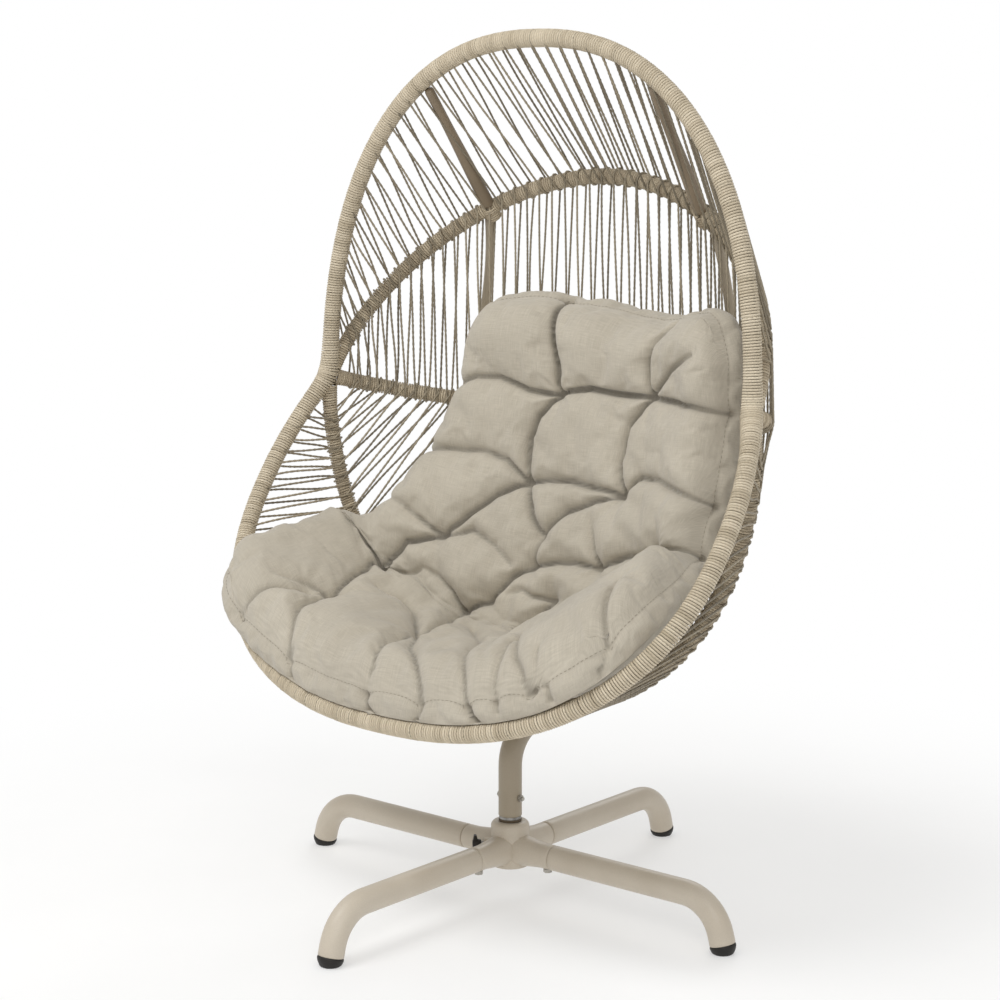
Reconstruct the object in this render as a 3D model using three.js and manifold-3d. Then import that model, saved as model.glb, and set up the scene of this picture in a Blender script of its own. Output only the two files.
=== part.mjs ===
// Swivel egg chair: a corded steel shell with a tufted cushion, on a four-legged tube base.
// Millimetres, +Z up. The origin is on the floor, on the swivel axis, and the chair faces -Y.
import * as THREE from 'three';
import { mergeVertices } from 'three/addons/utils/BufferGeometryUtils.js';
import Module from 'manifold-3d';

const wasm = await Module();
wasm.setup();

// ---------------------------------------------------------------- driving dimensions
const GAP = 0.3;                    // air left between two pieces that rest on each other
const TAU = 2 * Math.PI;

// base
const LEG_R = 20;                   // outside radius of a leg tube
const LEG_WALL = 2;
const LEG_Z = 80;                   // height of the horizontal part of a leg
const LEG_REACH = 345;              // where a leg starts to bend down
const LEG_BEND_R = 70;
const LEG_BEND = 75;                // degrees turned by the bend
const LEG_TAIL = 16;                // straight length after the bend
const SPIGOT_R = 16;                // reduced end of a leg inside its socket
const SOCKET_END = 44;              // how near the swivel axis a spigot reaches
const STUB_END = 90;                // joint line between the hub and a leg
const HUB_R = 31;
const HUB_BOTTOM = 51;
const HUB_TOP = 125;
const BORE_R = 17;                  // hub bore that holds the two bushes
const RECESS_R = 24;                // recess under the hub that hides the retaining bolt
const RECESS_TOP = 66;
const BUSH_FLANGE = 4;
const BUSH_FLANGE_R = 18.5;
const LOWER_BUSH_TOP = 80;
const UPPER_BUSH_BOTTOM = 97;
const LEG_BOLT_AT = 78;             // distance of a leg bolt from the swivel axis

// swivel lock, on the hub between the front leg and the left leg
const LOCK_ANGLE = 225;             // degrees round from +X
const LOCK_Z = 87;
const LOCK_BOSS_R = 9;
const LOCK_BOSS_END = 43;
const LOCK_SCREW_R = 4;
const LOCK_SCREW_END = 58;
const KNOB_START = 47;
const KNOB_END = 61;
const KNOB_WING = 14;               // half the height of the wings

// swivel column
const SHAFT_R = 12;
const SHAFT_FOOT = 62;
const COLLAR_R = 18;
const COLLAR = 4;
const COLUMN_R = 19;
const COLUMN_WALL = 2.5;
const COLUMN_STRAIGHT = 216;        // height where the column starts to bend to the rear
const COLUMN_BEND_R = 63;
const MAST_CORNER_Y = 170;          // where the level run and the mast would cross
const MAST_BEND_R = 90;
const MAST_TOP = new THREE.Vector3(0, 291, 790);
const COLUMN_BOLT_Z = 165;
const COLUMN_BOLT_R = 3;

// shell: every hoop starts and ends at the two kinks of the rim
const KINK = new THREE.Vector3(428, 36, 813);
const RIM_TUBE_R = 11;
const RIM_R = 14.5;                 // over the wound cord
const HOOP_TUBE_R = 9.2;
const HOOP_R = 12;
const UPPER_RIM_RISE = 552;
const UPPER_RIM_LEAN = 2.3;         // degrees behind vertical
const UPPER_RIM_POWER = 2.3;
const LOWER_RIM_TILT = 54.65;       // degrees below horizontal, to the front
const LOWER_RIM_WIDE = 465;         // half-width at the arms
const LOWER_RIM_WIDE_AT = 190;      // distance of the widest place below the kinks
const LOWER_RIM_SHOULDER = 486;
const SIDE_FAN = 0.9;                // how strongly the side cords fan out
const SEAT_FAN = 1.12;              // how strongly the seat cords lean back near the kinks
const LOWER_RIM_DROP = 385;         // from the widest place to the front
const LOWER_RIM_POWER = 2.35;
const LOWER_RIM_STEPS = 30;
const RIM_FREE = 5.5;               // from a kink to the end of the cord wound on the rim
const ARCH_REACH = 396;
const ARCH_LEAN = 31.7;
const ARCH_POWER = 1.87;
const MID_REACH = 218;
const MID_TILT = 15;
const BOTTOM_HOOP_TILT = 2.8;       // degrees behind vertical
const BOTTOM_HOOP_WIDE = 431;
const BOTTOM_HOOP_WIDE_AT = 38;     // distance of its widest place below the kinks
const BOTTOM_HOOP_DROP = 462;
const STRUT_R = 8;
const CORD_R = 1.7;

// brackets that bolt the shell to the column
const PLATE_HALF_WIDTH = 42;
const PLATE_HALF_HEIGHT = 23;
const PLATE_THICK = 4;
const U_BOLT_X = 30;
const U_BOLT_R = 3;
const U_BOLT_BEND = HOOP_R + 2.2 + U_BOLT_R;
const U_BOLT_LEG = 27;              // from the hoop's centre to the end of a threaded leg

// cushion
const CUSHION_THICK = 112;
const CUSHION_EDGE = 58;            // height of the band round its edge
const RIM_CLEAR = 25;               // the front edge lies on top of the rim
const SEAT_CLEAR = 15;              // between the seat cords and the cushion
const BACK_CLEAR = 26;              // the back clears the mid hoop and its U-bolts
const TOP_SHARE = 0.52;             // part of the arch-to-mid-hoop cords that the back covers
const FRONT_START = 2;              // where the front edge starts, from the rim's centre line
const FRONT_LIP = 16;               // how far the front edge reaches over the rim
const OVERHANG = 34;                // how far the left front corner reaches out over the rim
const CORNER_LIFT = 10;
const RIM_GROOVE_R = 17;            // groove that the rim presses into the underside
const BACK_OFFSET = 22;             // the back lies a little to the right of the middle
const BRIDGE = 110;                 // how far the cushion bridges the bends at the hoops
const BRIDGE_SAMPLES = 12;
const SLAB = 0.55;                  // how far it keeps its own flat shape across
// Half-widths in degrees of the hoop angle, from the front (0) to the top (1).
const LEFT_SPREAD = [[0, 58], [0.12, 60], [0.3, 61], [0.42, 58], [0.55, 48], [0.7, 39], [0.85, 34],
  [1, 31]];
const RIGHT_SPREAD = [[0, 60], [0.12, 62], [0.3, 62], [0.42, 60], [0.55, 58], [0.7, 56], [0.85, 56],
  [1, 55]];
const EAR = 0.045;                  // share by which the top right corner stands higher
const DIP = 0.02;                   // share by which the top dips beside it


const SMALL = 8;                    // sides of bolts and small round parts
const ROUND = 20;                   // sides of the hub, bushes and shaft
const PIPE = 16;                    // sides of the column
const LEG_SIDES = 12;

// ---------------------------------------------------------------- materials
function material(colour, roughness, metalness = 0) {
  return new THREE.MeshStandardMaterial({ color: colour, roughness, metalness });
}

const POWDER_COAT = () => material(0xb1a596, 0.5, 0.1);
const BARE_STEEL = () => material(0x9a9a98, 0.35, 0.9);
const ZINC = () => material(0xa9a49a, 0.4, 0.8);
const NYLON = () => material(0x6d6252, 0.55);
const BLACK_PLASTIC = () => material(0x221f1c, 0.5);
const WOUND_CORD = () => material(0xc1b49c, 0.75);
const LACED_CORD = () => material(0x8a8172, 0.75);
const CLOTH = () => material(0xb4ab9c, 0.9);

// ---------------------------------------------------------------- geometry helpers
const rad = THREE.MathUtils.degToRad;
const vec = (x, y, z) => new THREE.Vector3(x, y, z);

// One closed body with its faces pointing out: shared vertices merged and slivers dropped.
function closed(geometry) {
  const bare = geometry.clone();
  for (const name of Object.keys(bare.attributes)) {
    if (name !== 'position') bare.deleteAttribute(name);
  }
  bare.clearGroups();
  const merged = mergeVertices(bare, 1e-4);
  const at = merged.attributes.position;
  const corner = (i) => new THREE.Vector3().fromBufferAttribute(at, i);
  const faces = [];
  let volume = 0;
  for (let i = 0; i < merged.index.count; i += 3) {
    const [a, b, c] = [0, 1, 2].map((k) => merged.index.getX(i + k));
    if (a === b || b === c || c === a) continue;
    faces.push([a, b, c]);
    volume += corner(a).dot(corner(b).cross(corner(c)));
  }
  merged.setIndex(faces.flatMap(([a, b, c]) => (volume > 0 ? [a, b, c] : [a, c, b])));
  return merged;
}

function toManifold(geometry) {
  const body = closed(geometry);
  return new wasm.Manifold(new wasm.Mesh({
    numProp: 3,
    vertProperties: new Float32Array(body.attributes.position.array),
    triVerts: new Uint32Array(body.index.array),
  }));
}

function toGeometry(manifold) {
  const mesh = manifold.getMesh();
  const geometry = new THREE.BufferGeometry();
  geometry.setAttribute('position', new THREE.BufferAttribute(mesh.vertProperties, 3));
  geometry.setIndex(new THREE.BufferAttribute(mesh.triVerts, 1));
  return geometry;
}

function join(first, ...others) {
  return toGeometry(others.reduce((sum, g) => sum.add(toManifold(g)), toManifold(first)));
}

function cut(first, ...tools) {
  return toGeometry(tools.reduce((rest, g) => rest.subtract(toManifold(g)), toManifold(first)));
}

function place(geometry, matrix) {
  return geometry.clone().applyMatrix4(matrix);
}

// A solid of revolution about +Z from [radius, height] pairs; the profile closes on itself.
function turned(profile, sides = ROUND) {
  const points = profile.map(([r, z]) => new THREE.Vector2(r, z));
  if (profile[0][0] > 0) points.push(points[0].clone());
  return new THREE.LatheGeometry(points, sides).rotateX(Math.PI / 2);
}

// A plain round bar between two points.
function bar(from, to, radius, sides = SMALL) {
  const along = to.clone().sub(from);
  const turn = new THREE.Quaternion().setFromUnitVectors(vec(0, 1, 0), along.clone().normalize());
  const middle = from.clone().add(to).multiplyScalar(0.5);
  const matrix = new THREE.Matrix4().compose(middle, turn, vec(1, 1, 1));
  return place(new THREE.CylinderGeometry(radius, radius, along.length(), sides), matrix);
}

function block(low, high) {
  const size = high.clone().sub(low);
  const middle = low.clone().add(high).multiplyScalar(0.5);
  return new THREE.BoxGeometry(size.x, size.y, size.z).translate(middle.x, middle.y, middle.z);
}

function roundShape(radius, sides, innerRadius = 0, innerSides = sides) {
  const ring = (r, count) => Array.from({ length: count }, (_, i) => {
    const angle = (TAU * i) / count;
    return new THREE.Vector2(r * Math.cos(angle), r * Math.sin(angle));
  });
  const shape = new THREE.Shape(ring(radius, sides));
  if (innerRadius > 0) shape.holes.push(new THREE.Path(ring(innerRadius, innerSides).reverse()));
  return shape;
}

// A path that visits a list of stations at equal steps of its parameter.
class StationPath extends THREE.Curve {
  constructor(stations) {
    super();
    this.stations = stations;
  }

  getPoint(t, target = new THREE.Vector3()) {
    const last = this.stations.length - 1;
    const i = Math.min(Math.floor(t * last + 1e-9), last - 1);
    return target.lerpVectors(this.stations[i], this.stations[i + 1], t * last - i);
  }

  getPointAt(u, target) {
    return this.getPoint(u, target);
  }

  getTangentAt(u, target = new THREE.Vector3()) {
    const last = this.stations.length - 1;
    const i = Math.round(u * last);
    const before = this.stations[Math.max(i - 1, 0)];
    const here = this.stations[i];
    const after = this.stations[Math.min(i + 1, last)];
    const arriving = here.clone().sub(before).normalize();
    const leaving = after.clone().sub(here).normalize();
    return target.copy(arriving).add(leaving).normalize();
  }
}

function tube(stations, radius, sides, innerRadius = 0, innerSides = sides) {
  return new THREE.ExtrudeGeometry(roundShape(radius, sides, innerRadius, innerSides), {
    extrudePath: new StationPath(stations),
    steps: stations.length - 1,
  });
}

// Points on a circular arc about a centre, in the plane of two unit directions.
function arc(centre, startDirection, sideDirection, radius, degrees, steps) {
  return Array.from({ length: steps + 1 }, (_, i) => {
    const angle = rad(degrees * i) / steps;
    return centre.clone()
      .addScaledVector(startDirection, radius * Math.cos(angle))
      .addScaledVector(sideDirection, radius * Math.sin(angle));
  });
}

function hexBolt(headAcross, headHeight, radius, length, washerRadius = 0) {
  // Head below z = 0, shank above it.
  const head = new THREE.CylinderGeometry(headAcross / 2, headAcross / 2, headHeight, 6)
    .rotateX(Math.PI / 2).translate(0, 0, -headHeight / 2);
  const shank = bar(vec(0, 0, -headHeight / 2), vec(0, 0, length), radius);
  const parts = [shank];
  if (washerRadius > 0) parts.push(bar(vec(0, 0, -1.6), vec(0, 0, 0), washerRadius, ROUND));
  return join(head, ...parts);
}

function hexNut(across, height, holeRadius) {
  const body = new THREE.CylinderGeometry(across / 2, across / 2, height, 6)
    .rotateX(Math.PI / 2).translate(0, 0, height / 2);
  return cut(body, bar(vec(0, 0, -1), vec(0, 0, height + 1), holeRadius, 8));
}

// ---------------------------------------------------------------- the scene graph
const chair = new THREE.Group();

function add(name, geometry, finish, matrix = new THREE.Matrix4()) {
  const mesh = new THREE.Mesh(closed(geometry), finish);
  mesh.name = name;
  mesh.applyMatrix4(matrix);
  chair.add(mesh);
}

const turnZ = (degrees) => new THREE.Matrix4().makeRotationZ(rad(degrees));

// ---------------------------------------------------------------- base
// Every leg piece is drawn on +X and turned into place.
const LEGS = { right: 0, rear: 90, left: 180, front: 270 };

function hub() {
  const body = turned([
    [BORE_R, RECESS_TOP], [RECESS_R, RECESS_TOP], [RECESS_R, HUB_BOTTOM], [HUB_R - 2.5, HUB_BOTTOM],
    [HUB_R, HUB_BOTTOM + 2.5], [HUB_R, HUB_TOP - 4], [HUB_R - 4, HUB_TOP], [BORE_R, HUB_TOP],
  ]);
  const onAxis = (profile) => turned(profile.map(([s, r]) => [r, s]), ROUND)
    .rotateY(Math.PI / 2).translate(0, 0, LEG_Z);
  const stub = onAxis([[26, 0], [26, 25.5], [52, 21.6], [66, LEG_R], [STUB_END, LEG_R], [STUB_END, 0]]);
  const socket = onAxis([[SOCKET_END - 2, 0], [SOCKET_END - 2, SPIGOT_R + GAP],
    [STUB_END + 5, SPIGOT_R + GAP], [STUB_END + 5, 0]]);
  const boltHole = bar(vec(LEG_BOLT_AT, 0, 40), vec(LEG_BOLT_AT, 0, LEG_Z), 4.4);
  const out = vec(Math.cos(rad(LOCK_ANGLE)), Math.sin(rad(LOCK_ANGLE)), 0);
  const lockAt = (r) => out.clone().multiplyScalar(r).setZ(LOCK_Z);
  const round = Object.values(LEGS).map(turnZ);
  const solid = join(body, ...round.map((m) => place(stub, m)),
    bar(lockAt(26), lockAt(LOCK_BOSS_END), LOCK_BOSS_R));
  return cut(solid,
    bar(vec(0, 0, RECESS_TOP - 1), vec(0, 0, HUB_TOP + 1), BORE_R, ROUND),
    bar(vec(0, 0, HUB_BOTTOM - 1), vec(0, 0, RECESS_TOP), RECESS_R, ROUND),
    ...round.flatMap((m) => [place(socket, m), place(boltHole, m)]),
    bar(lockAt(10), lockAt(LOCK_BOSS_END + 5), LOCK_SCREW_R + 0.12, ROUND));
}

function legPath() {
  const centre = vec(LEG_REACH, 0, LEG_Z - LEG_BEND_R);
  const bend = arc(centre, vec(0, 0, 1), vec(1, 0, 0), LEG_BEND_R, LEG_BEND, 5);
  const end = bend[bend.length - 1];
  const down = legEndDirection();
  return [vec(STUB_END + GAP, 0, LEG_Z), ...bend, end.clone().addScaledVector(down, LEG_TAIL)];
}

function legEndDirection() {
  return vec(Math.cos(rad(LEG_BEND)), 0, -Math.sin(rad(LEG_BEND)));
}

function leg() {
  const pipe = tube(legPath(), LEG_R, LEG_SIDES, LEG_R - LEG_WALL);
  const start = STUB_END + GAP;
  const spigot = turned([[SPIGOT_R - LEG_WALL, SOCKET_END], [SPIGOT_R, SOCKET_END], [SPIGOT_R, start],
    [LEG_R - 0.8, start], [LEG_R - 0.8, start + 3], [SPIGOT_R - LEG_WALL, start + 3]], LEG_SIDES)
    .rotateY(Math.PI / 2).translate(0, 0, LEG_Z);
  const hole = bar(vec(LEG_BOLT_AT, 0, 50), vec(LEG_BOLT_AT, 0, LEG_Z), 4.4);
  return cut(join(pipe, spigot), hole);
}

function footCap() {
  // A plug in the tube's mouth and a dome under it, cut level with the floor.
  const path = legPath();
  const mouth = path[path.length - 1];
  const tilt = new THREE.Quaternion().setFromUnitVectors(vec(0, 0, -1), legEndDirection());
  const matrix = new THREE.Matrix4().compose(mouth, tilt, vec(1, 1, 1));
  const dome = turned([[0, -20], [9, -18.5], [14.5, -14], [18, -7.5], [19.2, -3], [19.2, -GAP],
    [17, -GAP], [16.4, 13], [0, 13]], LEG_SIDES);
  return cut(place(dome, matrix), block(vec(300, -60, -60), vec(520, 60, 0)));
}

function buildBase() {
  add('base_hub', hub(), POWDER_COAT());
  const sharedLeg = leg();
  const sharedCap = footCap();
  const sharedBolt = hexBolt(14, 5.5, 4, 20).translate(LEG_BOLT_AT, 0, LEG_Z - LEG_R - GAP);
  for (const [side, degrees] of Object.entries(LEGS)) {
    add(`leg_${side}`, sharedLeg, POWDER_COAT(), turnZ(degrees));
    add(`foot_cap_${side}`, sharedCap, BLACK_PLASTIC(), turnZ(degrees));
    add(`leg_bolt_${side}`, sharedBolt, ZINC(), turnZ(degrees));
  }
  const inner = SHAFT_R + 0.25;
  add('upper_bush', turned([
    [inner, UPPER_BUSH_BOTTOM], [BORE_R - GAP, UPPER_BUSH_BOTTOM], [BORE_R - GAP, HUB_TOP + GAP],
    [BUSH_FLANGE_R, HUB_TOP + GAP], [BUSH_FLANGE_R, HUB_TOP + BUSH_FLANGE],
    [inner, HUB_TOP + BUSH_FLANGE],
  ]), NYLON());
  add('lower_bush', turned([
    [inner, RECESS_TOP - BUSH_FLANGE], [BUSH_FLANGE_R, RECESS_TOP - BUSH_FLANGE],
    [BUSH_FLANGE_R, RECESS_TOP - GAP], [BORE_R - GAP, RECESS_TOP - GAP],
    [BORE_R - GAP, LOWER_BUSH_TOP], [inner, LOWER_BUSH_TOP],
  ]), NYLON());
}

// ---------------------------------------------------------------- swivel lock
// Drawn on +X at height zero, then turned to its place between two legs.
function buildLock() {
  const seat = turnZ(LOCK_ANGLE).multiply(new THREE.Matrix4().makeTranslation(0, 0, LOCK_Z));
  const padEnd = 20;
  add('lock_pad', bar(vec(SHAFT_R + GAP, 0, 0), vec(padEnd, 0, 0), LOCK_SCREW_R - 0.1), NYLON(), seat);
  add('lock_screw', bar(vec(padEnd + GAP, 0, 0), vec(LOCK_SCREW_END, 0, 0), LOCK_SCREW_R, ROUND),
    BARE_STEEL(), seat);
  const boss = turned([[0, KNOB_START], [6, KNOB_START], [7.5, KNOB_START + 4], [7.5, KNOB_END - 4],
    [5.5, KNOB_END], [0, KNOB_END]], 16).rotateY(Math.PI / 2);
  const wing = new THREE.Shape();
  wing.moveTo(KNOB_END - 8.5, -6);
  wing.lineTo(KNOB_END - 6.5, -KNOB_WING);
  wing.lineTo(KNOB_END - 2.5, -KNOB_WING);
  wing.lineTo(KNOB_END - 0.6, -5);
  wing.lineTo(KNOB_END - 0.6, 5);
  wing.lineTo(KNOB_END - 2.5, KNOB_WING);
  wing.lineTo(KNOB_END - 6.5, KNOB_WING);
  wing.lineTo(KNOB_END - 8.5, 6);
  const wings = new THREE.ExtrudeGeometry(wing, { depth: 9, bevelEnabled: false })
    .translate(0, 0, -4.5).rotateX(Math.PI / 2);
  const hole = bar(vec(KNOB_START - 1, 0, 0), vec(LOCK_SCREW_END + GAP, 0, 0),
    LOCK_SCREW_R + GAP, ROUND);
  add('lock_knob', cut(join(boss, wings), hole), BLACK_PLASTIC(), seat);
}

// ---------------------------------------------------------------- swivel column
const COLLAR_BOTTOM = HUB_TOP + BUSH_FLANGE + GAP;
const COLUMN_FOOT = COLLAR_BOTTOM + COLLAR + GAP;

function columnPath() {
  const level = COLUMN_STRAIGHT + COLUMN_BEND_R;
  const first = arc(vec(0, COLUMN_BEND_R, COLUMN_STRAIGHT), vec(0, -1, 0), vec(0, 0, 1),
    COLUMN_BEND_R, 90, 6);
  const corner = vec(0, MAST_CORNER_Y, level);
  const mast = MAST_TOP.clone().sub(corner).normalize();
  const rise = Math.atan2(mast.z, mast.y);
  const start = corner.y - MAST_BEND_R * Math.tan(rise / 2);
  const second = arc(vec(0, start, level + MAST_BEND_R), vec(0, 0, -1), vec(0, 1, 0),
    MAST_BEND_R, THREE.MathUtils.radToDeg(rise), 6);
  return [vec(0, 0, COLUMN_FOOT), ...first, ...second, MAST_TOP.clone()];
}

function mastDirection() {
  const path = columnPath();
  return path[path.length - 1].clone().sub(path[path.length - 2]).normalize();
}

function buildColumn() {
  const inner = COLUMN_R - COLUMN_WALL;
  const crossHole = bar(vec(-40, 0, COLUMN_BOLT_Z), vec(40, 0, COLUMN_BOLT_Z), COLUMN_BOLT_R + 0.4);
  add('swivel_column', cut(tube(columnPath(), COLUMN_R, PIPE, inner), crossHole), POWDER_COAT());

  const shaft = turned([
    [0, SHAFT_FOOT], [SHAFT_R, SHAFT_FOOT], [SHAFT_R, COLLAR_BOTTOM], [COLLAR_R, COLLAR_BOTTOM],
    [COLLAR_R, COLLAR_BOTTOM + COLLAR], [inner - 0.6, COLLAR_BOTTOM + COLLAR], [inner - 0.6, 190],
    [inner - 3, 194], [0, 194],
  ]);
  const tapped = bar(vec(0, 0, SHAFT_FOOT - 5), vec(0, 0, SHAFT_FOOT + 24), 4.4);
  add('pivot_shaft', cut(shaft, tapped, crossHole), BARE_STEEL());

  const washerTop = RECESS_TOP - BUSH_FLANGE - GAP;
  add('retaining_washer', turned([[4.6, washerTop - 3], [17.5, washerTop - 3], [17.5, washerTop],
    [4.6, washerTop]]), ZINC());
  add('retaining_bolt', hexBolt(15, 5, 4, 24).translate(0, 0, washerTop - 3 - GAP), ZINC());

  const alongX = new THREE.Matrix4().makeRotationY(Math.PI / 2);
  const boltPlace = new THREE.Matrix4().makeTranslation(-COLUMN_R - GAP, 0, COLUMN_BOLT_Z)
    .multiply(alongX);
  add('column_bolt', hexBolt(11, 4, COLUMN_BOLT_R, 2 * COLUMN_R + 9), ZINC(), boltPlace);
  const nutPlace = new THREE.Matrix4().makeTranslation(COLUMN_R + GAP, 0, COLUMN_BOLT_Z).multiply(alongX);
  add('column_nut', hexNut(11.5, 5, COLUMN_BOLT_R + GAP), ZINC(), nutPlace);

  const cap = turned([[0, -16], [inner - 1, -16], [inner - 0.6, GAP], [COLUMN_R, GAP],
    [COLUMN_R, 3], [COLUMN_R - 4, 5], [0, 5.5]], PIPE);
  const turn = new THREE.Quaternion().setFromUnitVectors(vec(0, 0, 1), mastDirection());
  add('column_cap', cap, BLACK_PLASTIC(), new THREE.Matrix4().compose(MAST_TOP, turn, vec(1, 1, 1)));
}

// ---------------------------------------------------------------- shell hoops
const power = (value, p) => Math.sign(value) * Math.abs(value) ** (2 / p);

// Each hoop is a function of an angle: 0 at the left kink, 90 at the middle, 180 at the right.
function fan(wide, reach, direction, p, degrees) {
  const angle = rad(degrees);
  return vec(-wide * power(Math.cos(angle), p), KINK.y, KINK.z)
    .addScaledVector(direction, reach * power(Math.sin(angle), p));
}

const leaning = (degrees) => vec(0, Math.sin(rad(degrees)), Math.cos(rad(degrees)));
const upperRim = (a) => fan(KINK.x, UPPER_RIM_RISE, leaning(UPPER_RIM_LEAN), UPPER_RIM_POWER, a);
const topArch = (a) => fan(KINK.x, ARCH_REACH, leaning(ARCH_LEAN), ARCH_POWER, a);
const midHoop = (a) => fan(KINK.x, MID_REACH, leaning(90 + MID_TILT), 2, a);

// The lower rim and the bottom hoop pass their widest places below the kinks, so each is drawn
// by an angle that is 0 and 180 at those widest places and negative or above 180 over them.
function lowerRim(degrees) {
  const angle = rad(degrees);
  const above = Math.sin(angle) < 0;
  const p = above ? 2 : LOWER_RIM_POWER;
  const reach = above ? LOWER_RIM_SHOULDER : LOWER_RIM_DROP;
  const down = LOWER_RIM_WIDE_AT + reach * power(Math.sin(angle), p);
  return vec(-LOWER_RIM_WIDE * power(Math.cos(angle), p),
    KINK.y - down * Math.cos(rad(LOWER_RIM_TILT)), KINK.z - down * Math.sin(rad(LOWER_RIM_TILT)));
}

function bottomHoop(degrees) {
  const angle = rad(degrees);
  const down = BOTTOM_HOOP_WIDE_AT + BOTTOM_HOOP_DROP * Math.sin(angle);
  return vec(-BOTTOM_HOOP_WIDE * Math.cos(angle), KINK.y + down * Math.sin(rad(BOTTOM_HOOP_TILT)),
    KINK.z - down * Math.cos(rad(BOTTOM_HOOP_TILT)));
}

const RIM_KINK_ANGLE = -THREE.MathUtils.radToDeg(Math.asin(LOWER_RIM_WIDE_AT / LOWER_RIM_SHOULDER));

// Evenly spaced points of a hoop between two angles, leaving a length free at both ends.
function spaced(hoop, from, to, free, count) {
  const fine = Array.from({ length: 721 }, (_, i) => hoop(from + ((to - from) * i) / 720));
  const lengths = [0];
  for (let i = 1; i < fine.length; i += 1) lengths.push(lengths[i - 1] + fine[i].distanceTo(fine[i - 1]));
  const total = lengths[lengths.length - 1];
  return Array.from({ length: count + 1 }, (_, k) => {
    const wanted = free + ((total - 2 * free) * k) / count;
    const i = Math.min(lengths.findIndex((l) => l >= wanted), fine.length - 1);
    const part = (wanted - lengths[i - 1]) / (lengths[i] - lengths[i - 1]);
    return fine[i - 1].clone().lerp(fine[i], part);
  });
}

const RIM = { tubeR: RIM_TUBE_R, wrapR: RIM_R };
const HOOP = { tubeR: HOOP_TUBE_R, wrapR: HOOP_R };
const HALF_TURN = { from: 0, to: 180 };
const HOOPS = [
  { name: 'rim_upper', hoop: upperRim, ...HALF_TURN, ...RIM, free: RIM_FREE, steps: 30 },
  { name: 'rim_lower', hoop: lowerRim, from: RIM_KINK_ANGLE, to: 180 - RIM_KINK_ANGLE, ...RIM,
    free: RIM_FREE, steps: LOWER_RIM_STEPS },
  { name: 'top_arch', hoop: topArch, ...HALF_TURN, ...HOOP, free: 58, steps: 22 },
  { name: 'mid_hoop', hoop: midHoop, ...HALF_TURN, ...HOOP, free: 27, steps: 20 },
  { name: 'bottom_hoop', hoop: bottomHoop, from: 0, to: 180, ...HOOP, free: 3, steps: 26 },
];

function buildHoops() {
  for (const { name, hoop, from, to, tubeR, wrapR, free, steps } of HOOPS) {
    const path = spaced(hoop, from, to, free, steps);
    add(`${name}_tube`, tube(path, tubeR, 6), POWDER_COAT());
    add(`${name}_wrap`, tube(path, wrapR, 8, tubeR + GAP, 6), WOUND_CORD());
  }
}

// ---------------------------------------------------------------- struts
function angleAtX(hoop, x) {
  let low = 0;
  let high = 90;
  for (let i = 0; i < 40; i += 1) {
    const middle = (low + high) / 2;
    if (hoop(middle).x < -x) low = middle;
    else high = middle;
  }
  return low;
}

function buildStruts() {
  for (const [side, sign] of [['left', -1], ['right', 1]]) {
    const onHoop = (hoop, x) => {
      const p = hoop(angleAtX(hoop, x));
      return vec(sign * Math.abs(p.x), p.y, p.z);
    };
    const rimEnd = onHoop(upperRim, 228);
    const archTop = onHoop(topArch, 222);
    const along = archTop.clone().sub(rimEnd).normalize();
    const behind = along.clone().cross(vec(1, 0, 0)).normalize().multiplyScalar(11);
    add(`upper_strut_${side}`, bar(
      rimEnd.clone().add(behind).addScaledVector(along, RIM_R + 7),
      archTop.clone().add(behind).addScaledVector(along, -HOOP_R - 1),
      STRUT_R), POWDER_COAT());

    const archEnd = onHoop(topArch, 228).add(vec(0, 12, -17.5));
    const midEnd = onHoop(midHoop, 274).add(vec(0, 14, 15.5));
    const bow = new THREE.QuadraticBezierCurve3(archEnd, vec(sign * 250, 258, 950), midEnd);
    add(`back_strut_${side}`, tube(bow.getPoints(8), STRUT_R, 8), POWDER_COAT());
  }
}

// ---------------------------------------------------------------- cord lacing
// One continuous cord zigzags between two hoops. It turns beside each hoop, clear of the wound
// cord, so that it lies in the surface that joins the two centre lines.
function besideHoop(hoop, degrees, along, wrapR) {
  const tangent = hoop(degrees + 0.5).sub(hoop(degrees - 0.5)).normalize();
  const sine = tangent.cross(along).length();
  return hoop(degrees).addScaledVector(along, (wrapR + CORD_R + 1) / sine);
}

function laced(hoopA, hoopB, wrapA, wrapB, pairs) {
  const path = [];
  pairs.forEach(([a, b], i) => {
    const along = hoopB(b).sub(hoopA(a)).normalize();
    const start = besideHoop(hoopA, a, along, wrapA);
    const end = besideHoop(hoopB, b, along.clone().negate(), wrapB);
    if (i % 2 === 0) path.push(start, end);
    else path.push(end, start);
  });
  return tube(path, CORD_R, 4);
}

// Pairs of hoop angles for a panel's strands; every second strand leans a little.
function strands(from, to, count, matching = (a) => a) {
  const lean = 0.5;
  return Array.from({ length: count }, (_, i) => {
    const a = from + ((to - from) * i) / (count - 1);
    return [a, matching(a) + (i % 2 === 0 ? -lean : lean)];
  });
}

// The side cords fan out, so that they meet the bottom hoop nearer to the kinks.
function fanned(a) {
  const fromKink = Math.min(a, 180 - a);
  const b = fromKink * (fromKink / 90) ** SIDE_FAN;
  return a < 90 ? b : 180 - b;
}

// The seat cords start at the kinks, so at the sides they lean back to the bottom hoop.
function fromKinks(a) {
  const share = (Math.min(a, 180 - a) - RIM_KINK_ANGLE) / (90 - RIM_KINK_ANGLE);
  const b = 90 * share ** SEAT_FAN;
  return a < 90 ? b : 180 - b;
}

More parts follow.
